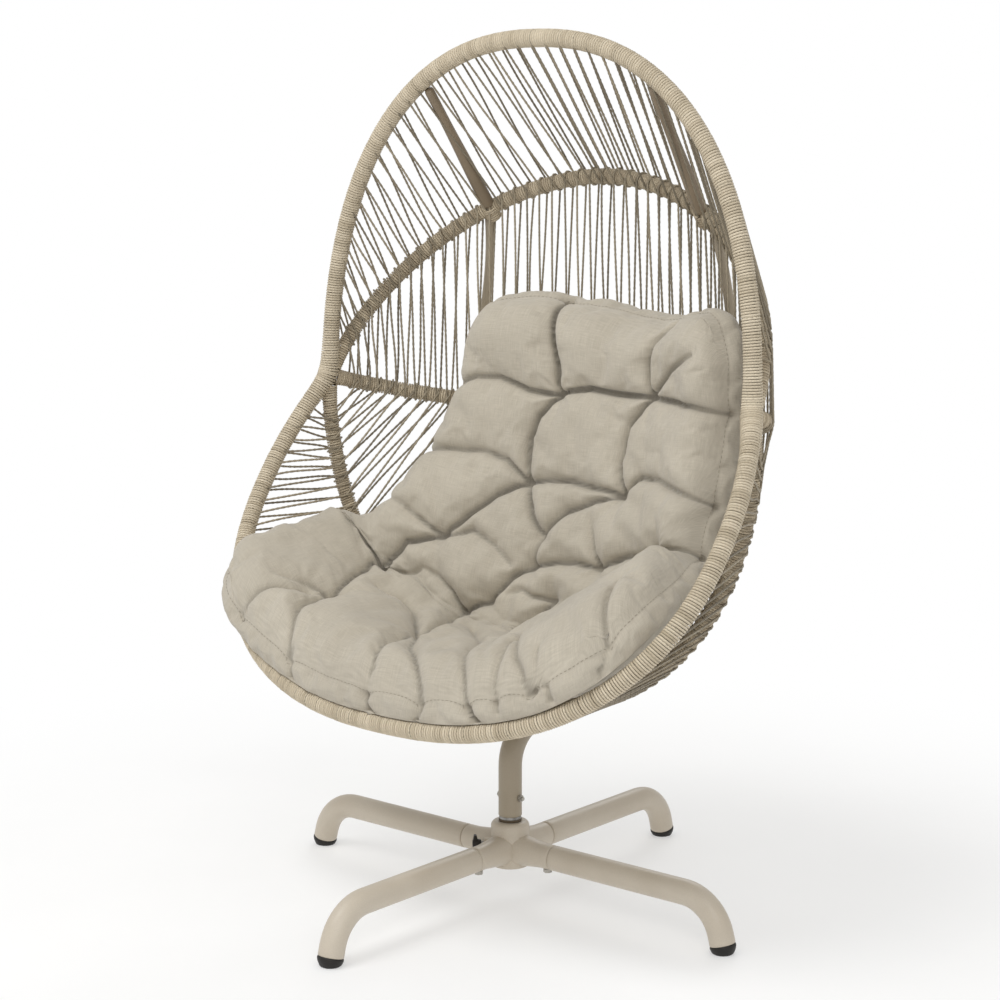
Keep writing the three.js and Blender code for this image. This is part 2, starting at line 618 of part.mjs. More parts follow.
function buildLacing() {
  const lacings = [
    ['hood_lacing', upperRim, topArch, RIM_R, strands(20, 160, 32)],
    ['back_lacing', topArch, midHoop, HOOP_R, strands(18, 162, 30)],
    ['side_lacing_left', midHoop, bottomHoop, HOOP_R, strands(18, 82, 14, fanned)],
    ['side_lacing_right', midHoop, bottomHoop, HOOP_R, strands(162, 98, 14, fanned)],
    ['seat_lacing_left', lowerRim, bottomHoop, RIM_R, strands(-12, 84, 20, fromKinks)],
    ['seat_lacing_right', lowerRim, bottomHoop, RIM_R, strands(192, 96, 20, fromKinks)],
  ];
  for (const [name, hoopA, hoopB, wrapA, pairs] of lacings) {
    add(name, laced(hoopA, hoopB, wrapA, HOOP_R, pairs), LACED_CORD());
  }
}

// ---------------------------------------------------------------- brackets
// Each bracket is a plate welded to the column and two U-bolts round a hoop. Drawn with the
// hoop's centre at the origin and the legs pointing down, then placed.
function uBolt() {
  const over = arc(vec(0, 0, 0), vec(0, -1, 0), vec(0, 0, 1), U_BOLT_BEND, 180, 8);
  return tube([vec(0, -U_BOLT_BEND, -U_BOLT_LEG), ...over, vec(0, U_BOLT_BEND, -U_BOLT_LEG)],
    U_BOLT_R, 6);
}

function buildBracket(name, hoopCentre, tilt, columnTube) {
  const matrix = new THREE.Matrix4().makeTranslation(hoopCentre.x, hoopCentre.y, hoopCentre.z)
    .multiply(new THREE.Matrix4().makeRotationX(rad(tilt)));
  const top = -HOOP_R - 0.7;
  const places = [];
  for (const x of [-U_BOLT_X, U_BOLT_X]) {
    for (const y of [-U_BOLT_BEND, U_BOLT_BEND]) places.push([x, y]);
  }
  const plate = cut(block(vec(-PLATE_HALF_WIDTH, -PLATE_HALF_HEIGHT, top - PLATE_THICK),
    vec(PLATE_HALF_WIDTH, PLATE_HALF_HEIGHT, top)),
    ...places.map(([x, y]) => bar(vec(x, y, top - 9), vec(x, y, top + 5), U_BOLT_R + GAP)));
  add(`${name}_bracket`, cut(place(plate, matrix), columnTube), POWDER_COAT());
  const nut = hexNut(11.5, 5, U_BOLT_R + GAP);
  [-U_BOLT_X, U_BOLT_X].forEach((x, i) => {
    add(`${name}_u_bolt_${i + 1}`, uBolt().translate(x, 0, 0), ZINC(), matrix);
  });
  places.forEach(([x, y], i) => {
    add(`${name}_nut_${i + 1}`, nut.clone().translate(x, y, top - PLATE_THICK - GAP - 5), ZINC(), matrix);
  });
}

function buildBrackets() {
  const clearance = tube(columnPath(), COLUMN_R + 0.4, PIPE);
  buildBracket('lower', bottomHoop(90), 0, clearance);
  buildBracket('upper', midHoop(90), 90, clearance);
}

// ---------------------------------------------------------------- cushion
// A point at length s on the line of cord from the rim to the bottom hoop, mid hoop and arch.
function cordLine(stops, s) {
  let rest = Math.max(s, 0);
  for (let i = 0; i < stops.length - 1; i += 1) {
    const length = stops[i].distanceTo(stops[i + 1]);
    if (rest < length) return stops[i].clone().lerp(stops[i + 1], rest / length);
    rest -= length;
  }
  return stops[stops.length - 1].clone();
}

// Straight-line interpolation in a list of [position, value] pairs.
function interpolate(table, x) {
  const i = Math.max(1, table.findIndex(([at]) => at >= x));
  const [low, high] = [table[i - 1], table[i]];
  return THREE.MathUtils.mapLinear(x, low[0], high[0], low[1], high[1]);
}

// The surface under the cushion, at u from -1 (left) to 1 (right) and v from 0 (front) to 1 (top).
// It runs up the seat cords and the back cords, and bridges the bends at the hoops.
function cushionOutline(u, v) {
  const { smoothstep } = THREE.MathUtils;
  const degrees = 90 + u * interpolate(u < 0 ? LEFT_SPREAD : RIGHT_SPREAD, v);
  const stops = [lowerRim, bottomHoop, midHoop, topArch].map((hoop) => hoop(degrees));
  const spans = stops.slice(1).map((stop, i) => stop.distanceTo(stops[i]));
  const total = spans[0] + spans[1] + TOP_SHARE * spans[2] - FRONT_START;
  const rise = EAR * smoothstep(u, 0.45, 0.9) - DIP * Math.exp(-(((u - 0.3) / 0.3) ** 2));
  const s = FRONT_START + v * (1 + rise * smoothstep(v, 0.6, 1)) * total;
  const reach = Math.min(BRIDGE, s);
  const point = vec(0, 0, 0);
  for (let k = -BRIDGE_SAMPLES; k <= BRIDGE_SAMPLES; k += 1) {
    const sample = cordLine(stops, s + (reach * k) / BRIDGE_SAMPLES);
    point.addScaledVector(sample, 1 / (2 * BRIDGE_SAMPLES + 1));
  }
  const corner = (1 - smoothstep(v, 0, 0.3)) * smoothstep(Math.abs(u), 0.3, 1);
  const tilt = rad(LOWER_RIM_TILT);
  point.x += BACK_OFFSET * smoothstep(v, 0.25, 0.7) - (u < 0 ? OVERHANG : 0) * corner;
  point.addScaledVector(vec(0, -Math.sin(tilt), Math.cos(tilt)), CORNER_LIFT * corner);
  return point.addScaledVector(vec(0, -Math.cos(tilt), -Math.sin(tilt)),
    FRONT_LIP * (1 - smoothstep(v, 0, 0.12)));
}

// The direction of the cushion's thickness: partly the surface's own normal, and partly the
// normal at the middle, because the cushion is a slab that doesn't quite follow the shell.
function thicknessDirection(u, v) {
  const step = 0.03;
  const normalAt = (uAt) => {
    const inner = THREE.MathUtils.clamp(uAt, -1 + step, 1 - step);
    const within = THREE.MathUtils.clamp(v, step, 1 - step);
    const du = cushionOutline(inner + step, within).sub(cushionOutline(inner - step, within));
    const dv = cushionOutline(inner, within + step).sub(cushionOutline(inner, within - step));
    return du.cross(dv).normalize();
  };
  return normalAt(u).multiplyScalar(1 - SLAB).addScaledVector(normalAt(0), SLAB).normalize();
}

// Height of the cushion's underside over the cords: high enough to clear the rim at the front,
// low in the seat, and high again to clear the mid hoop and its U-bolts.
function cushionClearance(v) {
  const { smoothstep, lerp } = THREE.MathUtils;
  return lerp(RIM_CLEAR, SEAT_CLEAR, smoothstep(v, 0, 0.25))
    + (BACK_CLEAR - SEAT_CLEAR) * smoothstep(v, 0.4, 0.6);
}

function cushion() {
  const across = 14;
  const along = 20;
  const top = [];
  const bottom = [];
  for (let j = 0; j <= along; j += 1) {
    for (let i = 0; i <= across; i += 1) {
      const u = Math.sin((Math.PI / 2) * ((2 * i) / across - 1));
      const v = 0.5 - 0.5 * Math.cos((Math.PI * j) / along);
      const point = cushionOutline(u, v);
      const direction = thicknessDirection(u, v);
      const edge = Math.min(1, (1 - Math.abs(u)) * 5, v * 12, (1 - v) * 12);
      const crown = (CUSHION_THICK - CUSHION_EDGE) * Math.sqrt(1 - (1 - edge) ** 2);
      const clear = cushionClearance(v);
      bottom.push(point.clone().addScaledVector(direction, clear));
      top.push(point.clone().addScaledVector(direction, clear + CUSHION_EDGE + crown));
    }
  }
  const geometry = new THREE.BufferGeometry().setFromPoints([...top, ...bottom]);
  const index = [];
  const row = across + 1;
  const under = top.length;
  const quad = (a, b, c, d) => index.push(a, b, c, a, c, d);
  for (let j = 0; j < along; j += 1) {
    for (let i = 0; i < across; i += 1) {
      const a = j * row + i;
      quad(a, a + 1, a + row + 1, a + row);
      quad(under + a, under + a + row, under + a + row + 1, under + a + 1);
    }
    const [left, right] = [j * row, j * row + across];
    quad(left, left + row, under + left + row, under + left);
    quad(right, under + right, under + right + row, right + row);
  }
  for (let i = 0; i < across; i += 1) {
    const [front, back] = [i, along * row + i];
    quad(front, under + front, under + front + 1, front + 1);
    quad(back, back + 1, under + back + 1, under + back);
  }
  geometry.setIndex(index);
  return geometry;
}

// The front edge lies over the rim, which presses a groove into the cushion's underside.
function buildCushion() {
  const path = spaced(lowerRim, RIM_KINK_ANGLE, 180 - RIM_KINK_ANGLE, RIM_FREE, LOWER_RIM_STEPS);
  const pressed = toManifold(cushion()).subtract(toManifold(tube(path, RIM_GROOVE_R, 8)));
  const [largest] = pressed.decompose().sort((a, b) => b.volume() - a.volume());
  add('cushion', toGeometry(largest), CLOTH());
}

buildBase();
buildLock();
buildColumn();
buildHoops();
buildStruts();
buildLacing();
buildBrackets();
buildCushion();

export default chair;
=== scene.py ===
"""Looks of the swivel egg chair: wound and laced cord, tufted cushion, tube base. Metres, +Z up."""
import math
from functools import partial

import bpy
import numpy as np
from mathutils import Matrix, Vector
from mathutils.kdtree import KDTree


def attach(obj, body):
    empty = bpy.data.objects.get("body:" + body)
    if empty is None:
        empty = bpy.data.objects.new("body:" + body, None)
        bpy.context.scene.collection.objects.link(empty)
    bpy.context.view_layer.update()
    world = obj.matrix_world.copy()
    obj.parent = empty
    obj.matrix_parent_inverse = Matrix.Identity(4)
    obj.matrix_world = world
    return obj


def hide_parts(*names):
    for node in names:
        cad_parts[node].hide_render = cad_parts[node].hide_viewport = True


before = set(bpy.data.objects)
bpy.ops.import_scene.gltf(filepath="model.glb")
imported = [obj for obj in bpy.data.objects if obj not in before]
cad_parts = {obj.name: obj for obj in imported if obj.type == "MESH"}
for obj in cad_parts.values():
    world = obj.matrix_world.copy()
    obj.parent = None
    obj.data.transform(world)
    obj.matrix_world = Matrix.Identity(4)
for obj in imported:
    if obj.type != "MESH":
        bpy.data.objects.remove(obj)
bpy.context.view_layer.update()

MM = 0.001
TAU = 2 * math.pi

# ---------------------------------------------------------------- shell curves, in millimetres
# The same curves as the CAD hoops. Each takes an array of angles, 0 at the left kink and 180 at
# the right one, and gives one row of x, y, z for each angle.
KINK = np.array([428.0, 36.0, 813.0])
LOWER_RIM_TILT = math.radians(54.65)
LOWER_RIM_WIDE_AT, LOWER_RIM_SHOULDER = 190, 486
LOWER_RIM_HALF_WIDTH, LOWER_RIM_DROP, LOWER_RIM_POWER = 465, 385, 2.35
BOTTOM_HOOP_HALF_WIDTH, BOTTOM_HOOP_START, BOTTOM_HOOP_DROP, BOTTOM_HOOP_LEAN = 431, 38, 462, 2.8
UPPER_RIM = (552, 2.3, 2.3)         # reach, lean back in degrees and power of each fanned hoop
TOP_ARCH = (396, 31.7, 1.87)
MID_HOOP = (218, 105, 2)
RIM_KINK_ANGLE = -math.degrees(math.asin(LOWER_RIM_WIDE_AT / LOWER_RIM_SHOULDER))
RIM_TUBE_R, RIM_R = 11, 14.5
HOOP_TUBE_R, HOOP_R = 9.2, 12


def cos_sin(degrees):
    return math.cos(math.radians(degrees)), math.sin(math.radians(degrees))


def signed_power(value, p):
    """The power that shapes a superellipse, with the value's sign kept."""
    return np.sign(value) * np.abs(value) ** (2 / p)


def fan(reach, lean, p, degrees):
    """A half superellipse from kink to kink, in a plane that leans back from upright."""
    a, lean = np.radians(degrees), math.radians(lean)
    x = -KINK[0] * signed_power(np.cos(a), p)
    out = reach * signed_power(np.sin(a), p)
    return np.stack([x, KINK[1] + out * math.sin(lean), KINK[2] + out * math.cos(lean)], -1)


upper_rim = partial(fan, *UPPER_RIM)
top_arch = partial(fan, *TOP_ARCH)
mid_hoop = partial(fan, *MID_HOOP)


def lower_rim(degrees):
    a = np.radians(degrees)
    above = np.sin(a) < 0
    p = np.where(above, 2, LOWER_RIM_POWER)
    reach = np.where(above, LOWER_RIM_SHOULDER, LOWER_RIM_DROP)
    down = LOWER_RIM_WIDE_AT + reach * signed_power(np.sin(a), p)
    return np.stack([-LOWER_RIM_HALF_WIDTH * signed_power(np.cos(a), p),
                     KINK[1] - down * math.cos(LOWER_RIM_TILT),
                     KINK[2] - down * math.sin(LOWER_RIM_TILT)], -1)


def bottom_hoop(degrees):
    a, lean = np.radians(degrees), math.radians(BOTTOM_HOOP_LEAN)
    down = BOTTOM_HOOP_START + BOTTOM_HOOP_DROP * np.sin(a)
    return np.stack([-BOTTOM_HOOP_HALF_WIDTH * np.cos(a), KINK[1] + down * math.sin(lean),
                     KINK[2] - down * math.cos(lean)], -1)


def lengths_along(points):
    steps = np.linalg.norm(np.diff(points, axis=0), axis=1)
    return np.concatenate([[0], np.cumsum(steps)])


def interpolated(positions, at, rows):
    """Rows of three values that are known at some lengths, at these other lengths."""
    return np.stack([np.interp(positions, at, rows[:, k]) for k in range(3)], -1)


def resampled(points, positions):
    """Points of a path at these lengths along it."""
    return interpolated(positions, lengths_along(points), points)


# ---------------------------------------------------------------- the surface under the cushion
TOP_SHARE = 0.52                    # part of the arch-to-mid-hoop cords that the back covers
FRONT_START = 2                     # where the front edge starts, from the rim's centre line
ROUNDING = 110                      # how far the cushion bridges the bends at the two hoops
BACK_OFFSET = 22                    # the back lies a little to the right of the middle
SPREAD_V = [0, 0.12, 0.3, 0.42, 0.55, 0.7, 0.85, 1]
LEFT_SPREAD = [58, 60, 61, 58, 48, 39, 34, 31]      # half-widths in degrees of the hoop angle
RIGHT_SPREAD = [60, 62, 62, 60, 58, 56, 56, 55]
RIM_CLEAR, SEAT_CLEAR, BACK_CLEAR = 18, 10, 26      # heights of the underside over the outline
NORMAL_SMOOTHING = 40
OUTLINE_SAMPLES = 25
EAR, DIP, MIDDLE_DIP = 0.045, 0.02, 0.012           # shares by which the top rises and dips
CORNER_LIFT = 10
SLAB = 0.55                         # how far the cushion keeps its own flat shape across
OVERHANG = 34                       # how far its left front corner reaches over the rim
FRONT_LIP = 16                      # how far its front edge reaches over the rim
RIM_NORMAL = np.array([0, -math.sin(LOWER_RIM_TILT), math.cos(LOWER_RIM_TILT)])
RIM_DOWN = np.array([0, -math.cos(LOWER_RIM_TILT), -math.sin(LOWER_RIM_TILT)])


def smoothstep(x, low, high):
    t = np.clip((x - low) / (high - low), 0, 1)
    return t * t * (3 - 2 * t)


def cord_line(stops, s):
    """A point at length s on the line from the rim to the bottom hoop, mid hoop and arch."""
    point, start = stops[0], 0
    for a, b in zip(stops, stops[1:]):
        length = np.linalg.norm(b - a, axis=-1)
        t = np.clip((s - start) / length, 0, 1)[..., None]
        point = np.where(t > 0, a + (b - a) * t, point)
        start = start + length
    return point


def cushion_outline(u, v):
    """The support surface at u from -1 (left) to 1 (right) and v from 0 (front) to 1 (top)."""
    left, right = (np.interp(v, SPREAD_V, spread) for spread in (LEFT_SPREAD, RIGHT_SPREAD))
    degrees = 90 + u * np.where(u < 0, left, right)
    stops = [hoop(degrees) for hoop in (lower_rim, bottom_hoop, mid_hoop, top_arch)]
    spans = [np.linalg.norm(b - a, axis=-1) for a, b in zip(stops, stops[1:])]
    total = spans[0] + spans[1] + TOP_SHARE * spans[2] - FRONT_START
    ear = EAR * smoothstep(u, 0.45, 0.9) - DIP * np.exp(-((u - 0.3) / 0.3) ** 2)
    ear -= MIDDLE_DIP * np.exp(-((u + 0.15) / 0.2) ** 2)
    along = v * (1 + ear * smoothstep(v, 0.6, 1))
    s = FRONT_START + along * total
    reach = np.minimum(ROUNDING, s)
    shifts = np.linspace(-1, 1, OUTLINE_SAMPLES)
    point = sum(cord_line(stops, s + reach * k) for k in shifts) / OUTLINE_SAMPLES
    point[..., 0] += BACK_OFFSET * smoothstep(v, 0.25, 0.7)
    over = (1 - smoothstep(v, 0, 0.3)) * smoothstep(np.abs(u), 0.3, 1)
    point[..., 0] -= np.where(u < 0, OVERHANG, 0) * over
    point += (CORNER_LIFT * over)[..., None] * RIM_NORMAL
    lip = FRONT_LIP * (1 - smoothstep(v, 0, 0.12))
    return point + lip[..., None] * RIM_DOWN


def clearance(v):
    """Height of the cushion's underside over the outline."""
    seat = RIM_CLEAR + (SEAT_CLEAR - RIM_CLEAR) * smoothstep(v, 0, 0.12)
    return seat + (BACK_CLEAR - SEAT_CLEAR) * smoothstep(v, 0.4, 0.6)


def grid_normals(points, middle):
    """Unit directions of thickness for a grid of points, pointing to the middle of the shell."""
    du = np.gradient(points, axis=1)
    dv = np.gradient(points, axis=0)
    n = np.cross(dv, du)
    n /= np.linalg.norm(n, axis=-1, keepdims=True)
    n *= np.sign(np.sum(n * (middle - points), axis=-1, keepdims=True))
    for _ in range(NORMAL_SMOOTHING):
        n[1:-1] = (n[:-2] + 2 * n[1:-1] + n[2:]) / 4
    centre = n[:, n.shape[1] // 2][:, None]
    n = n * (1 - SLAB) + centre * SLAB
    return n / np.linalg.norm(n, axis=-1, keepdims=True)


# ---------------------------------------------------------------- mesh tools, in millimetres
SIDES = 40                          # round a smooth tube


def make_piece(name, points, faces, finish, nodes=(), body="seat", smooth=True, uv=None, tint=None):
    """Makes a mesh object from points in millimetres, which rides on a body and replaces nodes."""
    mesh = bpy.data.meshes.new(name)
    mesh.from_pydata((np.asarray(points) * MM).tolist(), [], faces)
    if uv is not None:
        corners = np.empty(len(mesh.loops), np.int64)
        mesh.loops.foreach_get("vertex_index", corners)
        layer = mesh.uv_layers.new(name="UVMap")
        layer.data.foreach_set("uv", np.asarray(uv, np.float32)[corners].ravel())
    if tint is not None:
        layer = mesh.attributes.new("tint", "FLOAT", "POINT")
        layer.data.foreach_set("value", np.asarray(tint, np.float32))
    mesh.polygons.foreach_set("use_smooth", [smooth] * len(mesh.polygons))
    mesh.materials.append(finish)
    piece = bpy.data.objects.new(name, mesh)
    bpy.context.scene.collection.objects.link(piece)
    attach(piece, body)
    if nodes:
        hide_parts(*nodes)
    return piece


def ring_faces(rings, sides, closed=False, start=0):
    """Quads between rings of points, with a cap at both ends unless the tube closes on itself."""
    i, j = np.meshgrid(np.arange(rings if closed else rings - 1), np.arange(sides), indexing="ij")
    after = (i + 1) % rings
    side = (j + 1) % sides
    quads = np.stack([i * sides + j, i * sides + side, after * sides + side, after * sides + j], -1)
    faces = (quads.reshape(-1, 4) + start).tolist()
    if not closed:
        faces.append(list(range(start + sides - 1, start - 1, -1)))
        last = start + (rings - 1) * sides
        faces.append(list(range(last, last + sides)))
    return faces


def merged(*parts):
    """One list of points and faces from several."""
    points, faces, start = [], [], 0
    for part_points, part_faces in parts:
        points.append(np.asarray(part_points))
        faces += [[v + start for v in face] for face in part_faces]
        start += len(part_points)
    return np.concatenate(points), faces


def unit(v):
    """The same directions with length 1."""
    return v / np.linalg.norm(v, axis=-1, keepdims=True)


def frames(path):
    """Directions of a path, and two cross directions that turn with it as little as possible."""
    t = unit(np.gradient(path, axis=0))
    n = np.empty_like(t)
    start = np.cross(t[0], [1.0, 0, 0])
    n[0] = unit(start if np.linalg.norm(start) > 0.1 else np.cross(t[0], [0, 1.0, 0]))
    for k in range(1, len(t)):
        n[k] = unit(n[k - 1] - t[k] * (n[k - 1] @ t[k]))
    return t, n, np.cross(t, n)


def spokes(n, b, turn):
    """Directions at these turns round each point of a path, from its two cross directions."""
    return np.cos(turn)[None, :, None] * n[:, None] + np.sin(turn)[None, :, None] * b[:, None]


def tube(path, radius, sides=SIDES):
    """A round tube along a path; the radius may change along it."""
    path = np.asarray(path, float)
    radius = np.broadcast_to(np.asarray(radius, float), (len(path),))
    _, n, b = frames(path)
    ring = spokes(n, b, np.arange(sides) / sides * TAU)
    points = path[:, None] + radius[:, None, None] * ring
    return points.reshape(-1, 3), ring_faces(len(path), sides)


def revolved(profile, origin=(0, 0, 0), axis=(0, 0, 1), sides=SIDES):
    """A solid of revolution from [radius, height] pairs; it starts and ends with small caps."""
    axis = unit(np.asarray(axis, float))
    across = unit(np.cross(axis, [0, 1.0, 0] if abs(axis[1]) < 0.9 else [1.0, 0, 0]))
    other = np.cross(axis, across)
    turn = np.arange(sides) / sides * TAU
    ring = np.cos(turn)[:, None] * across + np.sin(turn)[:, None] * other
    radii, heights = np.array(profile, float).T
    points = np.asarray(origin) + radii[:, None, None] * ring + heights[:, None, None] * axis
    return points.reshape(-1, 3), ring_faces(len(profile), sides)


def rounded(profile, radius=1.5, steps=4):
    """The same profile with each inner corner replaced by a small curve."""
    profile = [np.array(p, float) for p in profile]
    out = [profile[0]]
    for before, here, after in zip(profile, profile[1:], profile[2:]):
        back, ahead = before - here, after - here
        reach = min(radius, 0.45 * np.linalg.norm(back), 0.45 * np.linalg.norm(ahead))
        a, b = here + unit(back) * reach, here + unit(ahead) * reach
        for t in np.linspace(0, 1, steps):
            out.append((1 - t) ** 2 * a + 2 * t * (1 - t) * here + t ** 2 * b)
    out.append(profile[-1])
    return out


def arc(centre, start, side, radius, degrees, steps=14):
    """Points of an arc that starts in one direction from its centre and turns to another."""
    turn = np.radians(np.linspace(0, degrees, steps + 1))[:, None]
    spoke = np.cos(turn) * np.asarray(start) + np.sin(turn) * np.asarray(side)
    return np.asarray(centre) + radius * spoke


def spaced(points, step):
    """The same path with points about one step apart."""
    length = lengths_along(points)[-1]
    return resampled(points, np.linspace(0, length, max(2, round(length / step)) + 1))


# ---------------------------------------------------------------- finishes
def link(tree, value, socket):
    """Links an output to a socket, or sets the socket's value."""
    if isinstance(value, bpy.types.NodeSocket):
        tree.links.new(value, socket)
    else:
        socket.default_value = value


def add_node(tree, kind, inputs=None, output=0, **settings):
    """Adds a shader node, sets its inputs by name or number, and gives one of its outputs."""
    made = tree.nodes.new("ShaderNode" + kind)
    for key, value in settings.items():
        setattr(made, key, value)
    for key, value in (inputs or {}).items():
        link(tree, value, made.inputs[key])
    return made.outputs[output]


def math_node(tree, operation, a, b=0.0, c=0.0):
    return add_node(tree, "Math", {0: a, 1: b, 2: c}, operation=operation)


def plus(tree, a, b):
    return math_node(tree, "ADD", a, b)


def times(tree, a, b):
    return math_node(tree, "MULTIPLY", a, b)


def mixed(tree, a, b, share):
    """Two values mixed, with this share of the second."""
    return plus(tree, times(tree, a, 1 - share), times(tree, b, share))


def separate(tree, vector):
    outputs = add_node(tree, "SeparateXYZ", {0: vector}).node.outputs
    return outputs[0], outputs[1]


def noise(tree, where, scale, detail=2.0, rough=0.5):
    inputs = {"Vector": where, "Scale": scale, "Detail": detail, "Roughness": rough}
    return add_node(tree, "TexNoise", inputs)


def spread(tree, value, low, high):
    """Maps a noise value (about 0.3 to 0.7) to a range."""
    return add_node(tree, "MapRange", {0: value, 1: 0.3, 2: 0.7, 3: low, 4: high})


def ramp(tree, value, *stops):
    """A colour ramp from pairs of position and sRGB colour."""
    made = tree.nodes.new("ShaderNodeValToRGB")
    while len(made.color_ramp.elements) < len(stops):
        made.color_ramp.elements.new(0.5)
    for element, (at, colour) in zip(made.color_ramp.elements, stops):
        element.position = at
        element.color = (*linear(colour), 1)
    link(tree, value, made.inputs[0])
    return made.outputs[0]


def linear(colour):
    """Linear values of an sRGB colour given from 0 to 255."""
    parts = [c / 255 for c in colour]
    return [c / 12.92 if c <= 0.04045 else ((c + 0.055) / 1.055) ** 2.4 for c in parts]


def bump(tree, height, strength, distance, below=None):
    inputs = {"Height": height, "Strength": strength, "Distance": distance}
    if below is not None:
        inputs["Normal"] = below
    return add_node(tree, "Bump", inputs)


def scaled(tree, colour, factor):
    """A colour made lighter or darker by a factor."""
    return add_node(tree, "VectorMath", {0: colour, "Scale": factor}, operation="SCALE")


def dressed(finish, **values):
    """The finish with these outputs or values in its shader; Base_Color sets "Base Color"."""
    tree = finish.node_tree
    inputs = tree.nodes["Principled BSDF"].inputs
    for name, value in values.items():
        link(tree, value, inputs[name.replace("_", " ")])
    return finish


def new_finish(name, slot, metallic=0.0, specular=0.5):
    finish = bpy.data.materials.new(name)
    finish.use_nodes = True
    finish["slot"] = slot
    dressed(finish, Metallic=metallic, Specular_IOR_Level=specular)
    tree = finish.node_tree
    return finish, tree, add_node(tree, "TexCoord", output="Object")


# Mask of a painted highlight: convex edges get a lighter colour, as where they catch the light.
def edge_highlight(tree, distance=0.0012):
    """Near 1 on convex edges and near 0 on flat faces, from the difference of two normals."""
    soft = add_node(tree, "Bevel", {"Radius": distance}, samples=4)
    sharp = add_node(tree, "NewGeometry", output="Normal")
    alike = add_node(tree, "VectorMath", {0: soft, 1: sharp}, output="Value",
                     operation="DOT_PRODUCT")
    return add_node(tree, "MapRange", {0: alike, 1: 0.995, 2: 0.90, 3: 0.0, 4: 1.0})


def powder_coat(name, dark, light, slot="powder_coat"):
    """Satin powder coat: fine orange peel, faint blotches, specks of dust and a painted highlight on
    its edges.
    """
    finish, tree, where = new_finish(name, slot, specular=0.4)
    blotch = noise(tree, where, 9.0, 3.0)
    grain = noise(tree, where, 900.0, 2.0)
    base = ramp(tree, blotch, (0.35, dark), (0.65, light))
    speck = spread(tree, grain, 0.95, 1.05)
    # painted highlight: the colour is up to a tenth lighter on convex edges
    lift = math_node(tree, "MULTIPLY_ADD", edge_highlight(tree), 0.10, 1.0)
    peel = noise(tree, where, 420.0, 1.0)
    return dressed(finish, Base_Color=scaled(tree, base, times(tree, speck, lift)),
                   Roughness=spread(tree, blotch, 0.30, 0.42),
                   Normal=bump(tree, peel, 0.12, 0.0006))


def edge_lit_finish(name, slot, dark, light, blotch, stops, highlight, **settings):
    """A finish of two shades in blotches of this scale, with a painted highlight that makes it
    lighter on its edges.
    """
    finish, tree, where = new_finish(name, slot, **settings)
    blotches = noise(tree, where, blotch, 3.0)
    base = ramp(tree, blotches, (stops[0], dark), (stops[1], light))
    # painted highlight: lighter on convex edges, by the share given second in highlight
    lift = math_node(tree, "MULTIPLY_ADD", edge_highlight(tree, highlight[0]), highlight[1], 1.0)
    return dressed(finish, Base_Color=scaled(tree, base, lift)), tree, where, blotches


def plain_metal(name, slot, dark, light, rough):
    """Zinc plate or turned steel: brushed across, slightly blotched, with a painted highlight that
    makes it brighter on its edges.
    """
    finish, tree, where, _ = edge_lit_finish(name, slot, dark, light, 120.0, (0.35, 0.65),
                                         (0.0005, 0.35), metallic=0.85)
    stretched = add_node(tree, "Mapping", {"Vector": where, "Scale": (60, 60, 1500)})
    brush = noise(tree, stretched, 1.0, 2.0)
    return dressed(finish, Roughness=spread(tree, brush, rough - 0.08, rough + 0.1),
                   Normal=bump(tree, brush, 0.1, 0.0003))


def moulded(name, slot, dark, light, rough):
    """Moulded plastic: fine spark grain, slight sheen changes, and a painted highlight on its edges.
    """
    finish, tree, where, blotches = edge_lit_finish(name, slot, dark, light, 60.0, (0.3, 0.7),
                                                (0.0008, 0.5), specular=0.35)
    grain = add_node(tree, "TexVoronoi", {"Vector": where, "Scale": 1400.0})
    return dressed(finish, Roughness=spread(tree, blotches, rough - 0.06, rough + 0.08),
                   Normal=bump(tree, grain, 0.15, 0.0004))


def cord(name, slot, dark, light, plies=3.0):
    """Twisted cord. UV runs along it in turns of twist, and once round it. Tint varies by turn."""
    finish, tree, where = new_finish(name, slot, specular=0.35)
    along, around = separate(tree, add_node(tree, "UVMap"))
    phase = plus(tree, times(tree, along, TAU), times(tree, around, TAU * plies))
    ply = math_node(tree, "SINE", phase)
    fibre = noise(tree, where, 1100.0, 2.0)
    tint = add_node(tree, "Attribute", output="Fac", attribute_name="tint")
    patch = noise(tree, where, 14.0, 2.0)
    base = ramp(tree, mixed(tree, tint, patch, 0.3), (0.15, dark), (0.8, light))
    # painted shade: the cord's colour is up to a fifth darker in the grooves between its plies
    groove = add_node(tree, "MapRange", {0: ply, 1: -1.0, 2: 0.2, 3: 0.80, 4: 1.0})
    shade = times(tree, groove, spread(tree, fibre, 0.93, 1.06))
    below = bump(tree, fibre, 0.2, 0.0002)
    return dressed(finish, Base_Color=scaled(tree, base, shade),
                   Roughness=spread(tree, fibre, 0.5, 0.68),
                   Normal=bump(tree, ply, 0.5, 0.0005, below))


THREAD_PITCH = 1.15                 # between two threads of the cloth, in millimetres


